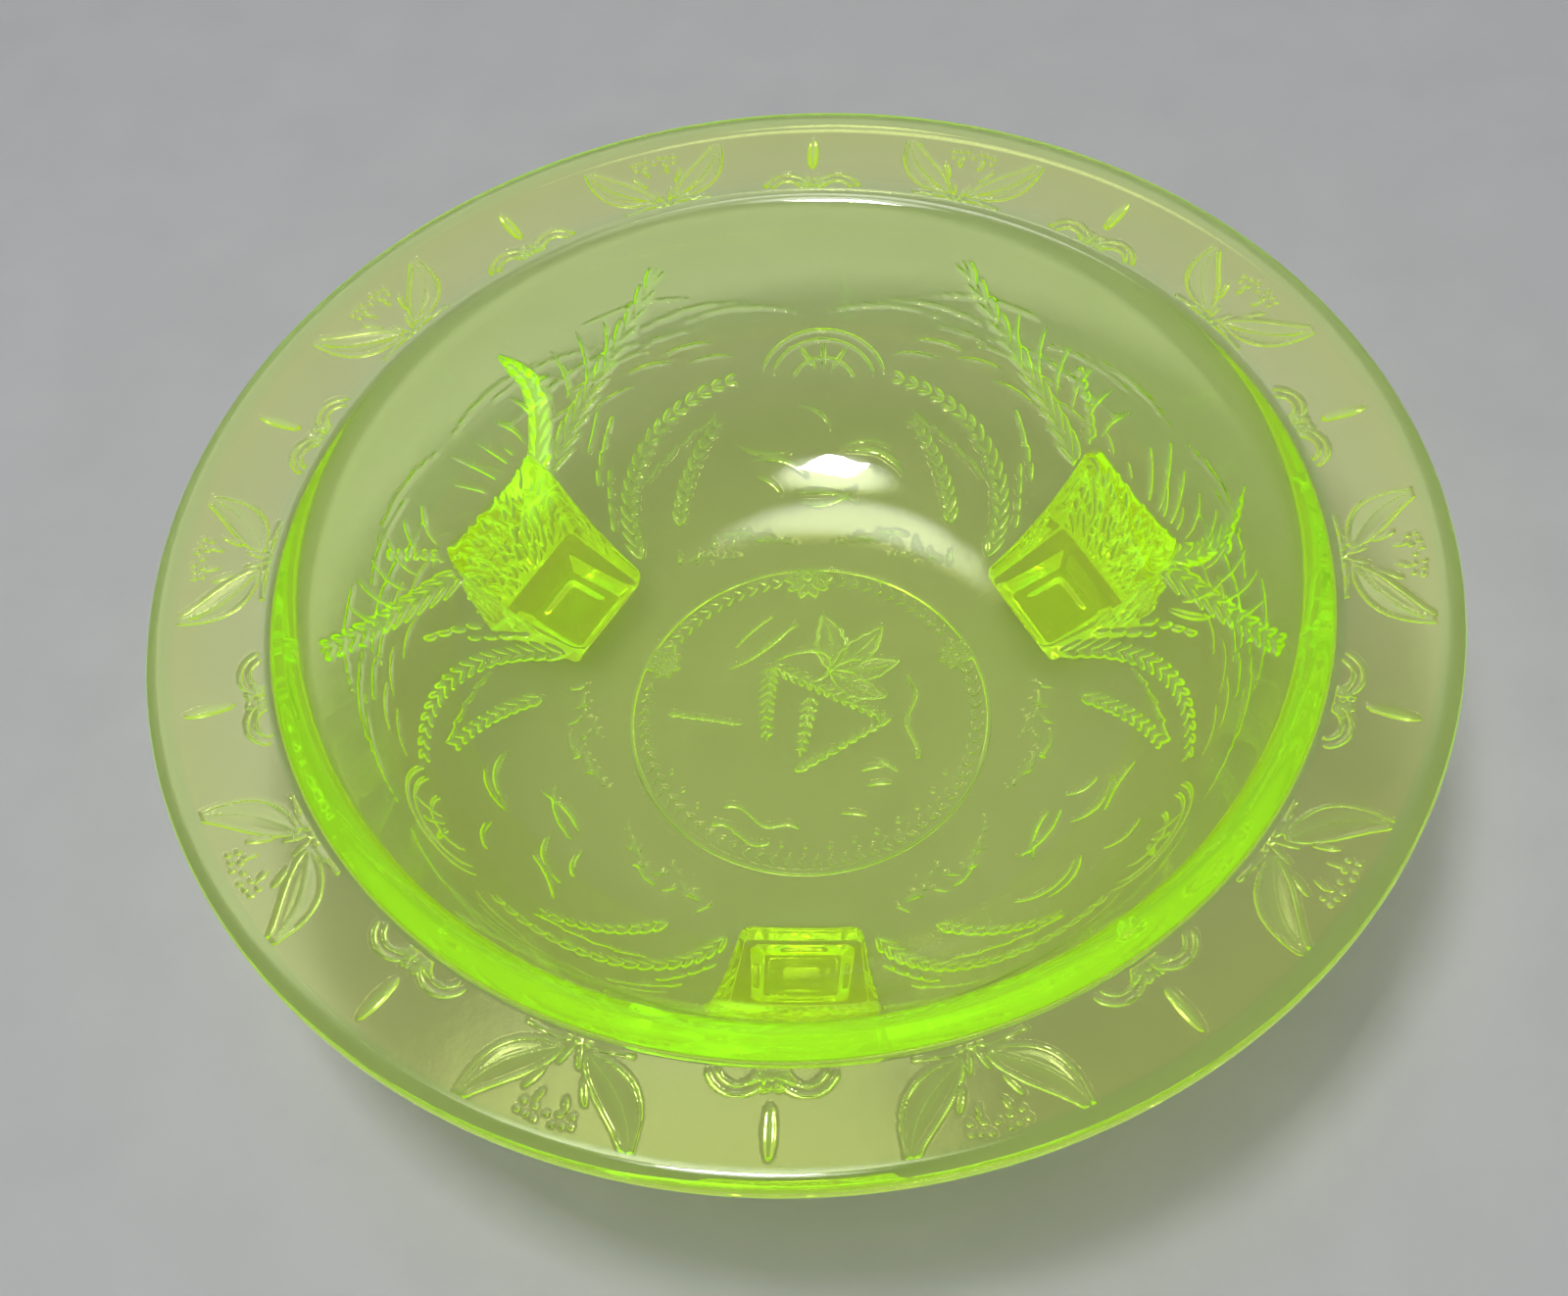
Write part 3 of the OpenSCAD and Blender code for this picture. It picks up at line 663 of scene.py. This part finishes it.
def shell(name, rings, bonded=(), closed=True):
    """A closed shell from its rings. The strips after the rings in bonded meet a neighbour."""
    starts = np.cumsum([0] + [ring.count for ring in rings])
    bond = np.concatenate([ring.bond for ring in rings])
    corners, sizes, corner_bond = [], [], []
    spans = len(rings) if closed else len(rings) - 1
    for i in range(spans):
        k = (i + 1) % len(rings)
        if rings[i].count == 1 and rings[k].count == 1:
            continue
        faces = strip(starts[i], rings[i].count, starts[k], rings[k].count)
        corners.append(faces.ravel())
        sizes.append(np.full(len(faces), faces.shape[1]))
        corner_bond.append(np.ones(faces.size) if i in bonded else bond[faces.ravel()])
    corners, sizes = np.concatenate(corners), np.concatenate(sizes)
    mesh = bpy.data.meshes.new(name)
    mesh.vertices.add(starts[-1])
    mesh.vertices.foreach_set("co", (np.concatenate([r.points for r in rings]) * MM).ravel())
    mesh.loops.add(len(corners))
    mesh.loops.foreach_set("vertex_index", corners.astype(np.int32))
    mesh.polygons.add(len(sizes))
    face_starts = np.concatenate([[0], np.cumsum(sizes)[:-1]])
    mesh.polygons.foreach_set("loop_start", face_starts.astype(np.int32))
    mesh.update(calc_edges=True)
    mesh.validate()
    layer = mesh.attributes.new("bond", "FLOAT", "CORNER")
    layer.data.foreach_set("value", np.concatenate(corner_bond).astype(np.float32))
    layer = mesh.attributes.new("relief", "FLOAT", "POINT")
    layer.data.foreach_set("value", np.concatenate([r.relief for r in rings]).astype(np.float32))
    sharpen(mesh, rings, starts, bonded)
    made = bpy.data.objects.new(name, mesh)
    bpy.context.scene.collection.objects.link(made)
    return made


def sharpen(mesh, rings, starts, bonded):
    """Marks the edges along the border of each bonded strip as sharp."""
    ring_of = np.repeat(np.arange(len(rings)), [ring.count for ring in rings])
    border = sorted(set(bonded) | {(i + 1) % len(rings) for i in bonded})
    ends = np.zeros(len(mesh.edges) * 2, np.int32)
    mesh.edges.foreach_get("vertices", ends)
    side = ring_of[ends.reshape(-1, 2)]
    sharp = (side[:, 0] == side[:, 1]) & np.isin(side[:, 0], border)
    layer = mesh.attributes.new("sharp_edge", "BOOLEAN", "EDGE")
    layer.data.foreach_set("value", sharp)


# ---- shells of the bowl

FLOOR_COLUMNS = 720
WALL_COLUMNS = 1120
SHOULDER_COLUMNS = 1600  # for the upper wall and the neck
WALL_JOINT = 46.0  # angle up the bend where the two shells of the wall meet
JOINT_ARC = OUTER_BEND_R * math.radians(WALL_JOINT)
BRIM_COLUMNS = 2000
RIM_COLUMNS = 500
COARSE = 4  # the plain side of a shell has this many times fewer columns
COLUMN_PITCH = 0.34  # near the axis, columns are halved while they are closer than this
FEWEST_COLUMNS = 90
FINE_ARCS = (12.0, 11.4)  # arc lengths where the wall changes to half as many columns
FLOOR_RINGS = (24, 100)  # rings on the plain side, then on the ornament's side
WALL_RINGS = (32, 64, 16)
SHOULDER_RINGS = (16, 50)
NECK_RINGS = (10, 15, 5, 12, 46)
BRIM_RINGS = (12, 46)
ROLL_RINGS = 14
FILLET_OVERRUN = 0.5  # the hollow corner is joined this far below its end
BRIM_FADES = (0.8, 0.3)  # widths over which the relief fades at the edge and at the neck


def make_floor():
    """Flat round floor with the medallion pressed into its underside."""
    edge = FLOOR_R - GAP / 2
    rings = []
    for radius in np.linspace(0, edge, FLOOR_RINGS[0]):
        rings.append(turned(radius, FLOOR_TOP, FLOOR_COLUMNS // COARSE))
    seam = len(rings) - 1
    for radius in np.linspace(edge, 0, FLOOR_RINGS[1]):
        fine = FLOOR_COLUMNS
        while fine > FEWEST_COLUMNS and fine / 2 * COLUMN_PITCH > 2 * math.pi * radius:
            fine //= 2
        turn = np.radians(azimuths(fine))
        lift = floor_relief(radius * np.cos(turn), radius * np.sin(turn))
        if radius < 1e-6:
            lift = lift[0]
        rings.append(turned(radius, FLOOR_UNDER - lift, fine, relief=lift))
    return shell("floor_glass", rings, {seam}, closed=False)


def outside_rings(arcs, columns):
    """Rings on the outside of the wall and neck, with the ornament and the feet's bond."""
    rings = []
    turn = azimuths(columns)
    for arc in arcs:
        point, normal = outside(arc)
        lift = outside_height(turn, np.full(columns, arc))
        bond = foot_bond(turn, np.full(columns, point[0]))
        rings.append(turned(
            point[0] + lift * normal[0], point[1] + lift * normal[1], columns, bond, lift))
    return rings


def make_wall():
    """Curved wall from the floor up, with the low ornament on its outside."""
    rings = []
    for degrees in np.linspace(0, WALL_JOINT, WALL_RINGS[0]):
        point = bend_point(BEND_R, degrees)
        out = GAP / 2 if degrees == 0 else 0
        rings.append(turned(point[0] + out, point[1], WALL_COLUMNS // COARSE))
    upper = len(rings) - 1
    rings += outside_rings(np.linspace(JOINT_ARC, FINE_ARCS[0], WALL_RINGS[1]), WALL_COLUMNS)
    rings += outside_rings(np.linspace(FINE_ARCS[1], 0, WALL_RINGS[2]), WALL_COLUMNS // 2)
    last = rings[-1].points
    last[:, :2] *= 1 + GAP / 2 / FLOOR_R
    return shell("wall_glass", rings, {upper, len(rings) - 1})


def make_shoulder():
    """Upper part of the curved wall, with plumes, blades and the foot of each horn."""
    rings = []
    for degrees in np.linspace(WALL_JOINT, WALL_SLOPE, SHOULDER_RINGS[0]):
        point = bend_point(BEND_R, degrees)
        up = SEAM_LIFT if degrees == WALL_JOINT else 0
        rings.append(turned(point[0], point[1] + up, SHOULDER_COLUMNS // COARSE))
    upper = len(rings) - 1
    rings += outside_rings(np.linspace(BEND_ARC, JOINT_ARC, SHOULDER_RINGS[1]), SHOULDER_COLUMNS)
    rings[-1].points[:, 2] += SEAM_LIFT
    return shell("shoulder_glass", rings, {upper, len(rings) - 1})


def make_neck():
    """Steep top of the wall, the rounded lip and the thick corner under the brim."""
    wall, lip, top, fillet, outer = NECK_RINGS
    coarse = SHOULDER_COLUMNS // COARSE
    section = [INNER_END + (LIP_START - INNER_END) * share for share in np.linspace(0, 1, wall)]
    section[0] = section[0] + np.array([0, SEAM_LIFT])
    corner = LIP_START + WALL_RUN * (LIP_END[1] - LIP_START[1]) / WALL_RUN[1] * LIP_CORNER
    for t in np.linspace(0, 1, lip)[1:]:
        section.append((1 - t) ** 2 * LIP_START + 2 * t * (1 - t) * corner + t * t * LIP_END)
    for radius in np.linspace(LIP_END[0], NECK_OUT_R, top)[1:]:
        section.append((radius, brim_top(radius)))
    joint = len(section) - 1
    for degrees in np.linspace(0, NECK_SLOPE, fillet):
        turn = math.radians(degrees)
        section.append(FILLET_CENTRE + FILLET_R * np.array([-math.sin(turn), math.cos(turn)]))
    rings = [turned(radius, height, coarse) for radius, height in section]
    start = float(arc_at(section[-1][0])) - FILLET_OVERRUN
    rings += outside_rings(np.linspace(start, BEND_ARC, outer), SHOULDER_COLUMNS)
    rings[-1].points[:, 2] += SEAM_LIFT
    return shell("neck_glass", rings, {joint, len(rings) - 1})


def make_brim():
    """The broad flange, with sprays and bows pressed into its underside."""
    inner, outer = NECK_OUT_R + GAP, BRIM_OUT_R
    rings = []
    for radius in np.linspace(inner, outer, BRIM_RINGS[0]):
        rings.append(turned(radius, brim_top(radius), BRIM_COLUMNS // COARSE))
    joint = len(rings) - 1
    turn = azimuths(BRIM_COLUMNS)
    for radius in np.linspace(outer, inner, BRIM_RINGS[1]):
        fade = min(1.0, (outer - radius) / BRIM_FADES[0], (radius - inner) / BRIM_FADES[1])
        lift = brim_relief(turn, np.full(BRIM_COLUMNS, radius)) * fade
        rings.append(turned(radius, BRIM_UNDER - lift, BRIM_COLUMNS, relief=lift))
    return shell("brim_glass", rings, {joint, len(rings) - 1})


def make_rim():
    """Rolled outer edge of the brim."""
    inner = BRIM_OUT_R + GAP
    rings = [turned(inner, brim_top(inner), RIM_COLUMNS)]
    quarter = np.linspace(0, 90, ROLL_RINGS)
    for level, way, angles in ((HEIGHT, -1, quarter), (BRIM_UNDER, 1, quarter[::-1])):
        for turn in np.radians(angles):
            height = level + way * ROLL_R * (1 - math.cos(turn))
            rings.append(turned(CREASE_R + ROLL_R * math.sin(turn), height, RIM_COLUMNS))
    rings.append(turned(inner, BRIM_UNDER, RIM_COLUMNS))
    return shell("rim_glass", rings, {len(rings) - 1})


# ---- feet

LEDGE_H = 0.9  # fall of the ledge from the block in to the sole
HOLLOW_SHARES = (0.35, 0.6)  # rings on the flat of the hollow
SLOPE_SHARES = (0.72, 0.8, 0.9, 1.0)  # rings down its side
SOLE_EDGE = ((0.96, 0.0), (0.985, 0.12))  # rings round the sole's edge: share and height
SOLE_START = 0.4  # height at which the sole starts to widen
SOLE_RINGS = 8
LEDGE_RINGS = 6
BACK_BEND = 0.55  # share of the height where the outer face turns upright
TOP_POWER = 7  # how late the outline widens to meet the wall
FOOT_RINGS = 64
CAP_RINGS = 26
FOLIAGE_SEED = 11
FOLIAGE_ROWS = 9
FOLIAGE_STEP = 2.7
FOLIAGE_START = 1.5  # height of the first row above the ledge
FOLIAGE_WIDTH = 20  # how far the rows reach along each side
FOLIAGE_FAN = 2.2  # degrees that a leaf leans for each millimetre from the middle
FOLIAGE_SAG = 0.3
FOLIAGE_RELIEF = 0.9
FOLIAGE_GLOW = 4.0  # how much stronger this relief's painted glow is than the wall's
FOLIAGE_FADES = (5, 8)  # how fast it grows in from the ledge, and out towards the wall
FOLIAGE_FRONT = (0.3, 0.3)  # share of the foot's depth left plain, and the width of the change
SIDE_MARGIN = 0.6  # width of an end of the outline, as opposed to its sides


def foliage(u, v):
    """Leaves that fan upwards over a foot, at places along its side and up it."""
    draw = np.random.default_rng(FOLIAGE_SEED)
    height = np.zeros(np.broadcast(u, v).shape)
    for row in range(FOLIAGE_ROWS):
        level = SOLE_H + FOLIAGE_START + row * FOLIAGE_STEP
        for place in np.arange(-FOLIAGE_WIDTH, FOLIAGE_WIDTH, FOLIAGE_STEP):
            spot = (place + draw.uniform(-0.8, 0.8), level + draw.uniform(-0.7, 0.7))
            turn = 90 - FOLIAGE_FAN * place + draw.uniform(-24, 24)
            length, width = draw.uniform(4.5, 8.0), draw.uniform(0.9, 1.5)
            tall = draw.uniform(0.6, 1.0)
            grown = tall * dash(u, v, spot, turn, length, width, FOLIAGE_SAG)
            np.maximum(height, grown, out=height)
    return height


def foliage_place(outline):
    """How strong the foliage is at each point round a foot, and its place along the side."""
    reach, offset = outline.T
    low, high = reach.min(), reach.max()
    behind = (reach - low) / (high - low)
    strength = np.clip((behind - FOLIAGE_FRONT[0]) / FOLIAGE_FRONT[1], 0, 1)
    on_sides = (reach > low + SIDE_MARGIN) & (reach < high - SIDE_MARGIN)
    return strength, offset + (reach - SOLE_R) * np.sign(offset) * on_sides


def outline_normals(points):
    """Unit directions that point out of a closed outline."""
    along = np.roll(points, -1, 0) - np.roll(points, 1, 0)
    out = np.stack([-along[:, 1], along[:, 0]], 1)
    return out / np.linalg.norm(out, axis=1)[:, None]


def place_on_bowl(points, turn, gap):
    """Puts a foot's points, in radius and offset, on the outside of the wall."""
    radius = np.hypot(points[:, 0], points[:, 1])
    azimuth = turn + np.degrees(np.arctan2(points[:, 1], points[:, 0]))
    arc = arc_at(radius)
    point, normal = outside(arc)
    lift = outside_height(azimuth, arc) + gap
    out = point + normal * lift[:, None]
    angle = np.radians(azimuth)
    return np.stack([out[:, 0] * np.cos(angle), out[:, 0] * np.sin(angle), out[:, 1]], 1)


def stand(points, height, turn):
    """Puts a foot's points, in radius and offset, at a height."""
    angle = math.radians(turn)
    x = points[:, 0] * math.cos(angle) - points[:, 1] * math.sin(angle)
    y = points[:, 0] * math.sin(angle) + points[:, 1] * math.cos(angle)
    return np.stack([x, y, np.broadcast_to(height, x.shape)], 1)


def shrunk(points, share):
    """An outline drawn in towards its middle."""
    middle = points.mean(0)
    return middle + (points - middle) * share


def make_foot(name, turn):
    """A foot from the square that stands on the table up to the wall."""
    sole, rim, base, block, top, hollow = [foot_outline(outline) for outline in (
        SOLE_OUTLINE, SOLE_RIM_OUTLINE, BASE_OUTLINE, BLOCK_OUTLINE, TOP_OUTLINE, HOLLOW_OUTLINE)]
    cap = place_on_bowl(top, turn, 2 * GAP)
    plans = [(shrunk(sole, 0)[:1], HOLLOW_H)]
    plans += [(shrunk(hollow, share), HOLLOW_H) for share in HOLLOW_SHARES]
    for share in SLOPE_SHARES:
        plans.append((shrunk(hollow, share), HOLLOW_H * (1 - share) / (1 - SLOPE_SHARES[0])))
    plans += [(shrunk(sole, share), level) for share, level in SOLE_EDGE]
    for share in np.linspace(0, 1, SOLE_RINGS):
        level = SOLE_START + (SOLE_H - LEDGE_H - SOLE_START) * share
        plans.append((sole + (rim - sole) * share, level))
    for share in np.linspace(0, 1, LEDGE_RINGS)[1:]:
        plans.append((rim + (base - rim) * share, SOLE_H - LEDGE_H * (1 - share) ** 2))
    rings = [Ring(stand(plan, level, turn)) for plan, level in plans]

    normals = outline_normals(block)
    strength, along = foliage_place(block)
    for t in np.linspace(0, 1, FOOT_RINGS + 1)[1:]:
        plan = base + (block - base) * min(1.0, t / BACK_BEND)
        plan = plan + (top - plan) * t ** TOP_POWER
        level = SOLE_H + (cap[:, 2] - SOLE_H) * t
        fade = min(1.0, FOLIAGE_FADES[0] * t, FOLIAGE_FADES[1] * (1 - t))
        lift = FOLIAGE_RELIEF * fade * strength * foliage(along, level)
        leafy = plan + normals * lift[:, None]
        # The foliage's relief value is scaled up here so that its painted glow is brighter
        rings.append(Ring(stand(leafy, level, turn), relief=FOLIAGE_GLOW * lift))
    rings[-1] = Ring(cap)
    edge = len(rings) - 1
    for share in np.linspace(1, 0, CAP_RINGS)[1:-1]:
        rings.append(Ring(place_on_bowl(shrunk(top, share), turn, 2 * GAP)))
    rings.append(Ring(place_on_bowl(shrunk(top, 0)[:1], turn, 2 * GAP)))
    return shell(name, rings, set(range(edge, len(rings) - 1)), closed=False)


# ---- materials


def node(tree, kind, **inputs):
    made = tree.nodes.new(kind)
    for key, value in inputs.items():
        made.inputs[key.replace("_", " ")].default_value = value
    return made


ABSORPTION_COLOR = (0.78, 0.90, 0.0, 1.0)
ABSORPTION_DENSITY = 100.0
GLASS_IOR = 1.5
BOND_EDGE = (0.499, 0.501)  # bond from which the glass stops bending light, and where it has
# Painted glow on the skin of the ornament, for the bright neon of thick ridges and horns where
# light runs along the glass
PAINTED_GLOW_COLOR = (0.30, 1.0, 0.04, 1.0)
PAINTED_RELIEF_GLOW = 0.30  # painted glow of the skin of the highest ornament
GLOWING_RELIEF = 2.6  # height, in millimetres, from which ornament has that much painted glow
WORN_SCALE = 90.0  # faint wear that varies the gloss
WORN_RANGE = (0.35, 0.75)
FINE_WAVES = 14  # how much finer the small waves are than the broad ones
FINE_SHARE = 0.06  # and how high next to them
# Glasses: scale of the broad waves, their height in millimetres, the least and greatest
# roughness, and the colour and strength of the glow, a painted glow for the green fluorescence with
# painted reflection of the overhead light
GLASSES = {
    "thin": (30.0, 0.25, (0.015, 0.06), (0.76, 1.0, 0.04, 1.0), 14.0),
    "thick": (24.0, 0.2, (0.01, 0.05), (0.56, 1.0, 0.03, 1.0), 14.0),
    # The brim's yellower glow holds a painted reflection of the overhead light as well
    "brim": (30.0, 0.25, (0.015, 0.06), (0.98, 1.0, 0.10, 1.0), 14.0),
    # The feet's yellower glow holds a painted reflection of the overhead light caught inside them
    # as well
    "foot": (60.0, 0.3, (0.01, 0.05), (0.92, 1.0, 0.17, 1.0), 9.0),
}


def attribute(tree, name):
    """The value of a mesh attribute."""
    made = tree.nodes.new("ShaderNodeAttribute")
    made.attribute_name = name
    return made.outputs["Fac"]


def ranged(tree, value, before, after):
    """A value moved from one range to another, and held at its ends."""
    made = node(
        tree, "ShaderNodeMapRange",
        From_Min=before[0], From_Max=before[1], To_Min=after[0], To_Max=after[1])
    tree.links.new(value, made.inputs["Value"])
    return made.outputs["Result"]


def noise(tree, scale, detail, roughness):
    """Noise that is fixed to the object."""
    place = tree.nodes.new("ShaderNodeTexCoord")
    made = node(tree, "ShaderNodeTexNoise", Scale=scale, Detail=detail, Roughness=roughness)
    tree.links.new(place.outputs["Object"], made.inputs["Vector"])
    return made.outputs["Fac"]


def uranium_glass(name, waves, wave_height, roughness, glow_and_reflection_color, glow_and_reflection_strength):
    """Clear glass that takes blue out of the light and has a painted green glow through its depth,
    for its fluorescence and a painted overhead reflection.
    """
    material = bpy.data.materials.new(name)
    material.use_nodes = True
    tree = material.node_tree
    tree.nodes.clear()
    link = tree.links.new
    surface = node(tree, "ShaderNodeBsdfPrincipled", IOR=GLASS_IOR, Transmission_Weight=1.0)
    surface.inputs["Base Color"].default_value = (1, 1, 1, 1)
    surface.inputs["Emission Color"].default_value = PAINTED_GLOW_COLOR
    bend = ranged(tree, attribute(tree, "bond"), BOND_EDGE, (GLASS_IOR, 1.0))
    # Painted glow of the ornament's skin, by the height in its relief attribute
    relief_painted_glow = ranged(tree, attribute(tree, "relief"), (0.0, GLOWING_RELIEF), (0.0, PAINTED_RELIEF_GLOW))
    rough = ranged(tree, noise(tree, WORN_SCALE, 5.0, 0.6), WORN_RANGE, roughness)
    link(bend, surface.inputs["IOR"])
    link(relief_painted_glow, surface.inputs["Emission Strength"])
    link(rough, surface.inputs["Roughness"])

    mixed = node(tree, "ShaderNodeMath")
    mixed.operation = "MULTIPLY_ADD"
    mixed.inputs[1].default_value = FINE_SHARE
    bump = node(tree, "ShaderNodeBump", Strength=1.0, Distance=wave_height * MM)
    link(noise(tree, waves * FINE_WAVES, 3.0, 0.5), mixed.inputs[0])
    link(noise(tree, waves, 2.0, 0.5), mixed.inputs[2])
    link(mixed.outputs["Value"], bump.inputs["Height"])
    link(bump.outputs["Normal"], surface.inputs["Normal"])

    depth = node(tree, "ShaderNodeVolumeAbsorption", Density=ABSORPTION_DENSITY)
    depth.inputs["Color"].default_value = ABSORPTION_COLOR
    plain = tree.nodes.new("ShaderNodeOutputMaterial")
    link(surface.outputs["BSDF"], plain.inputs["Surface"])
    link(depth.outputs["Volume"], plain.inputs["Volume"])

    # Painted glow through the depth: green fluorescence, with a painted reflection of the overhead
    # light
    glow = node(tree, "ShaderNodeEmission", Color=glow_and_reflection_color, Strength=glow_and_reflection_strength)
    both = tree.nodes.new("ShaderNodeAddShader")
    glowing = tree.nodes.new("ShaderNodeOutputMaterial")
    glowing.target = "CYCLES"
    link(depth.outputs["Volume"], both.inputs[0])
    link(glow.outputs["Emission"], both.inputs[1])
    link(surface.outputs["BSDF"], glowing.inputs["Surface"])
    link(both.outputs["Shader"], glowing.inputs["Volume"])
    return material


def table_material():
    """Matt pale grey paper under the bowl."""
    material = bpy.data.materials.new("table_paper")
    material.use_nodes = True
    tree = material.node_tree
    surface = tree.nodes["Principled BSDF"]
    surface.inputs["Roughness"].default_value = 0.85
    tone = tree.nodes.new("ShaderNodeValToRGB")
    tone.color_ramp.elements[0].color = (0.305, 0.31, 0.318, 1)
    tone.color_ramp.elements[1].color = (0.35, 0.355, 0.362, 1)
    tree.links.new(noise(tree, 40.0, 4.0, 0.5), tone.inputs["Fac"])
    tree.links.new(tone.outputs["Color"], surface.inputs["Base Color"])
    return material


# ---- scene

CAMERA_TARGET = Vector((-1.9, -24.1, 75.0)) * MM
CAMERA_DISTANCE = 343.3 * MM
CAMERA_ELEVATION = 55.8  # degrees above level
CAMERA_TURN = 5.0  # degrees from the front towards +X
CAMERA_ROLL = -6.1  # degrees
CAMERA_LENS = 42.75  # millimetres, on the default sensor


def make_camera():
    """Camera that looks down into the bowl from the front."""
    camera = bpy.data.cameras.new("camera")
    camera.lens = CAMERA_LENS
    made = bpy.data.objects.new("camera", camera)
    bpy.context.scene.collection.objects.link(made)
    up, turn = math.radians(CAMERA_ELEVATION), math.radians(CAMERA_TURN)
    back = Vector((math.cos(up) * math.sin(turn), -math.cos(up) * math.cos(turn), math.sin(up)))
    right = Vector((0, 0, 1)).cross(back).normalized()
    above = back.cross(right)
    roll = math.radians(CAMERA_ROLL)
    rolled = right * math.cos(roll) + above * math.sin(roll)
    head = back.cross(rolled)
    made.matrix_world = Matrix.Translation(CAMERA_TARGET + back * CAMERA_DISTANCE) @ Matrix(
        (rolled, head, back)).transposed().to_4x4()
    bpy.context.scene.camera = made


def make_light(name, place, target, width, power):
    """Square soft light that points at a target."""
    light = bpy.data.lights.new(name, "AREA")
    light.size = width
    light.energy = power
    made = bpy.data.objects.new(name, light)
    made.location = place
    made.rotation_euler = (Vector(target) - Vector(place)).to_track_quat("-Z", "Y").to_euler()
    bpy.context.scene.collection.objects.link(made)


TABLE_SIZE = 6.0  # metres
TABLE_GAP = 0.03  # millimetres of air under the soles
SKY = 0.38  # brightness of the surroundings
# Soft bright patches overhead: direction, degrees from middle to edge, and brightness
SOFT_PATCHES = (
    ((-0.115, 0.23, 0.966), 13.0, 6.5),
    ((-0.112, -0.172, 0.979), 11.0, 9.0),
)
# Studio lamp: where it is, where it points, its width, all in metres, and its watts
LAMP = ((-0.1, -0.155, 0.9), (0, 0, 0.04), 0.13, 4.5)


def make_surroundings():
    """Pale table, and white surroundings with soft patches of light overhead."""
    bpy.ops.mesh.primitive_plane_add(size=TABLE_SIZE, location=(0, 0, -TABLE_GAP * MM))
    table = bpy.context.object
    table.name = "table"
    table.data.materials.append(table_material())
    world = bpy.data.worlds.new("studio")
    world.use_nodes = True
    tree = world.node_tree
    sky = tree.nodes["Background"]
    sky.inputs["Color"].default_value = (1, 1, 1, 1)
    place = tree.nodes.new("ShaderNodeTexCoord")
    total = None
    for way, spread, brightness in SOFT_PATCHES:
        facing = tree.nodes.new("ShaderNodeVectorMath")
        facing.operation = "DOT_PRODUCT"
        facing.inputs[1].default_value = way
        patch = node(tree, "ShaderNodeMapRange", From_Max=1.0, To_Min=0.0, To_Max=brightness)
        patch.interpolation_type = "SMOOTHERSTEP"
        patch.inputs["From Min"].default_value = math.cos(math.radians(spread))
        both = tree.nodes.new("ShaderNodeMath")
        tree.links.new(place.outputs["Generated"], facing.inputs[0])
        tree.links.new(facing.outputs["Value"], patch.inputs["Value"])
        tree.links.new(patch.outputs["Result"], both.inputs[0])
        both.inputs[1].default_value = SKY
        if total:
            tree.links.new(total, both.inputs[1])
        total = both.outputs["Value"]
    tree.links.new(total, sky.inputs["Strength"])
    bpy.context.scene.world = world
    make_light("key_light", *LAMP)


def nodes_of(*starts):
    """The frame's nodes whose names start in one of these ways."""
    return [name for name in frame["nodes"] if name.startswith(starts)]


glass = {name: uranium_glass(name + "_uranium_glass", *values) for name, values in GLASSES.items()}
low_wall = [name for name in nodes_of("wall_") if name != "wall_upper"]

PIECES = [
    (make_floor(), glass["thin"], "thin_glass", nodes_of("bowl_floor", "floor_")),
    (make_wall(), glass["thin"], "thin_glass", low_wall),
    (make_shoulder(), glass["thin"], "thin_glass", nodes_of("wall_upper", "foot_spine_")),
    (make_neck(), glass["thick"], "thick_glass", ["neck_ring"]),
    (make_brim(), glass["brim"], "thin_glass", nodes_of("brim")),
    (make_rim(), glass["thick"], "thick_glass", ["rim_edge"]),
]
for foot, foot_turn in FOOT_TURNS.items():
    PIECES.append((
        make_foot(foot + "_foot_glass", foot_turn), glass["foot"], "thick_glass",
        ["foot_block_" + foot, "foot_sole_" + foot]
    ))
for piece, material, slot, nodes in PIECES:
    piece.data.materials.append(material)
    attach(piece, "root")
    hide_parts(*nodes)

make_surroundings()
make_camera()

scene = bpy.context.scene
scene.view_settings.view_transform = "Standard"
scene.cycles.transmission_bounces = 24
scene.cycles.max_bounces = 28
scene.cycles.transparent_max_bounces = 32
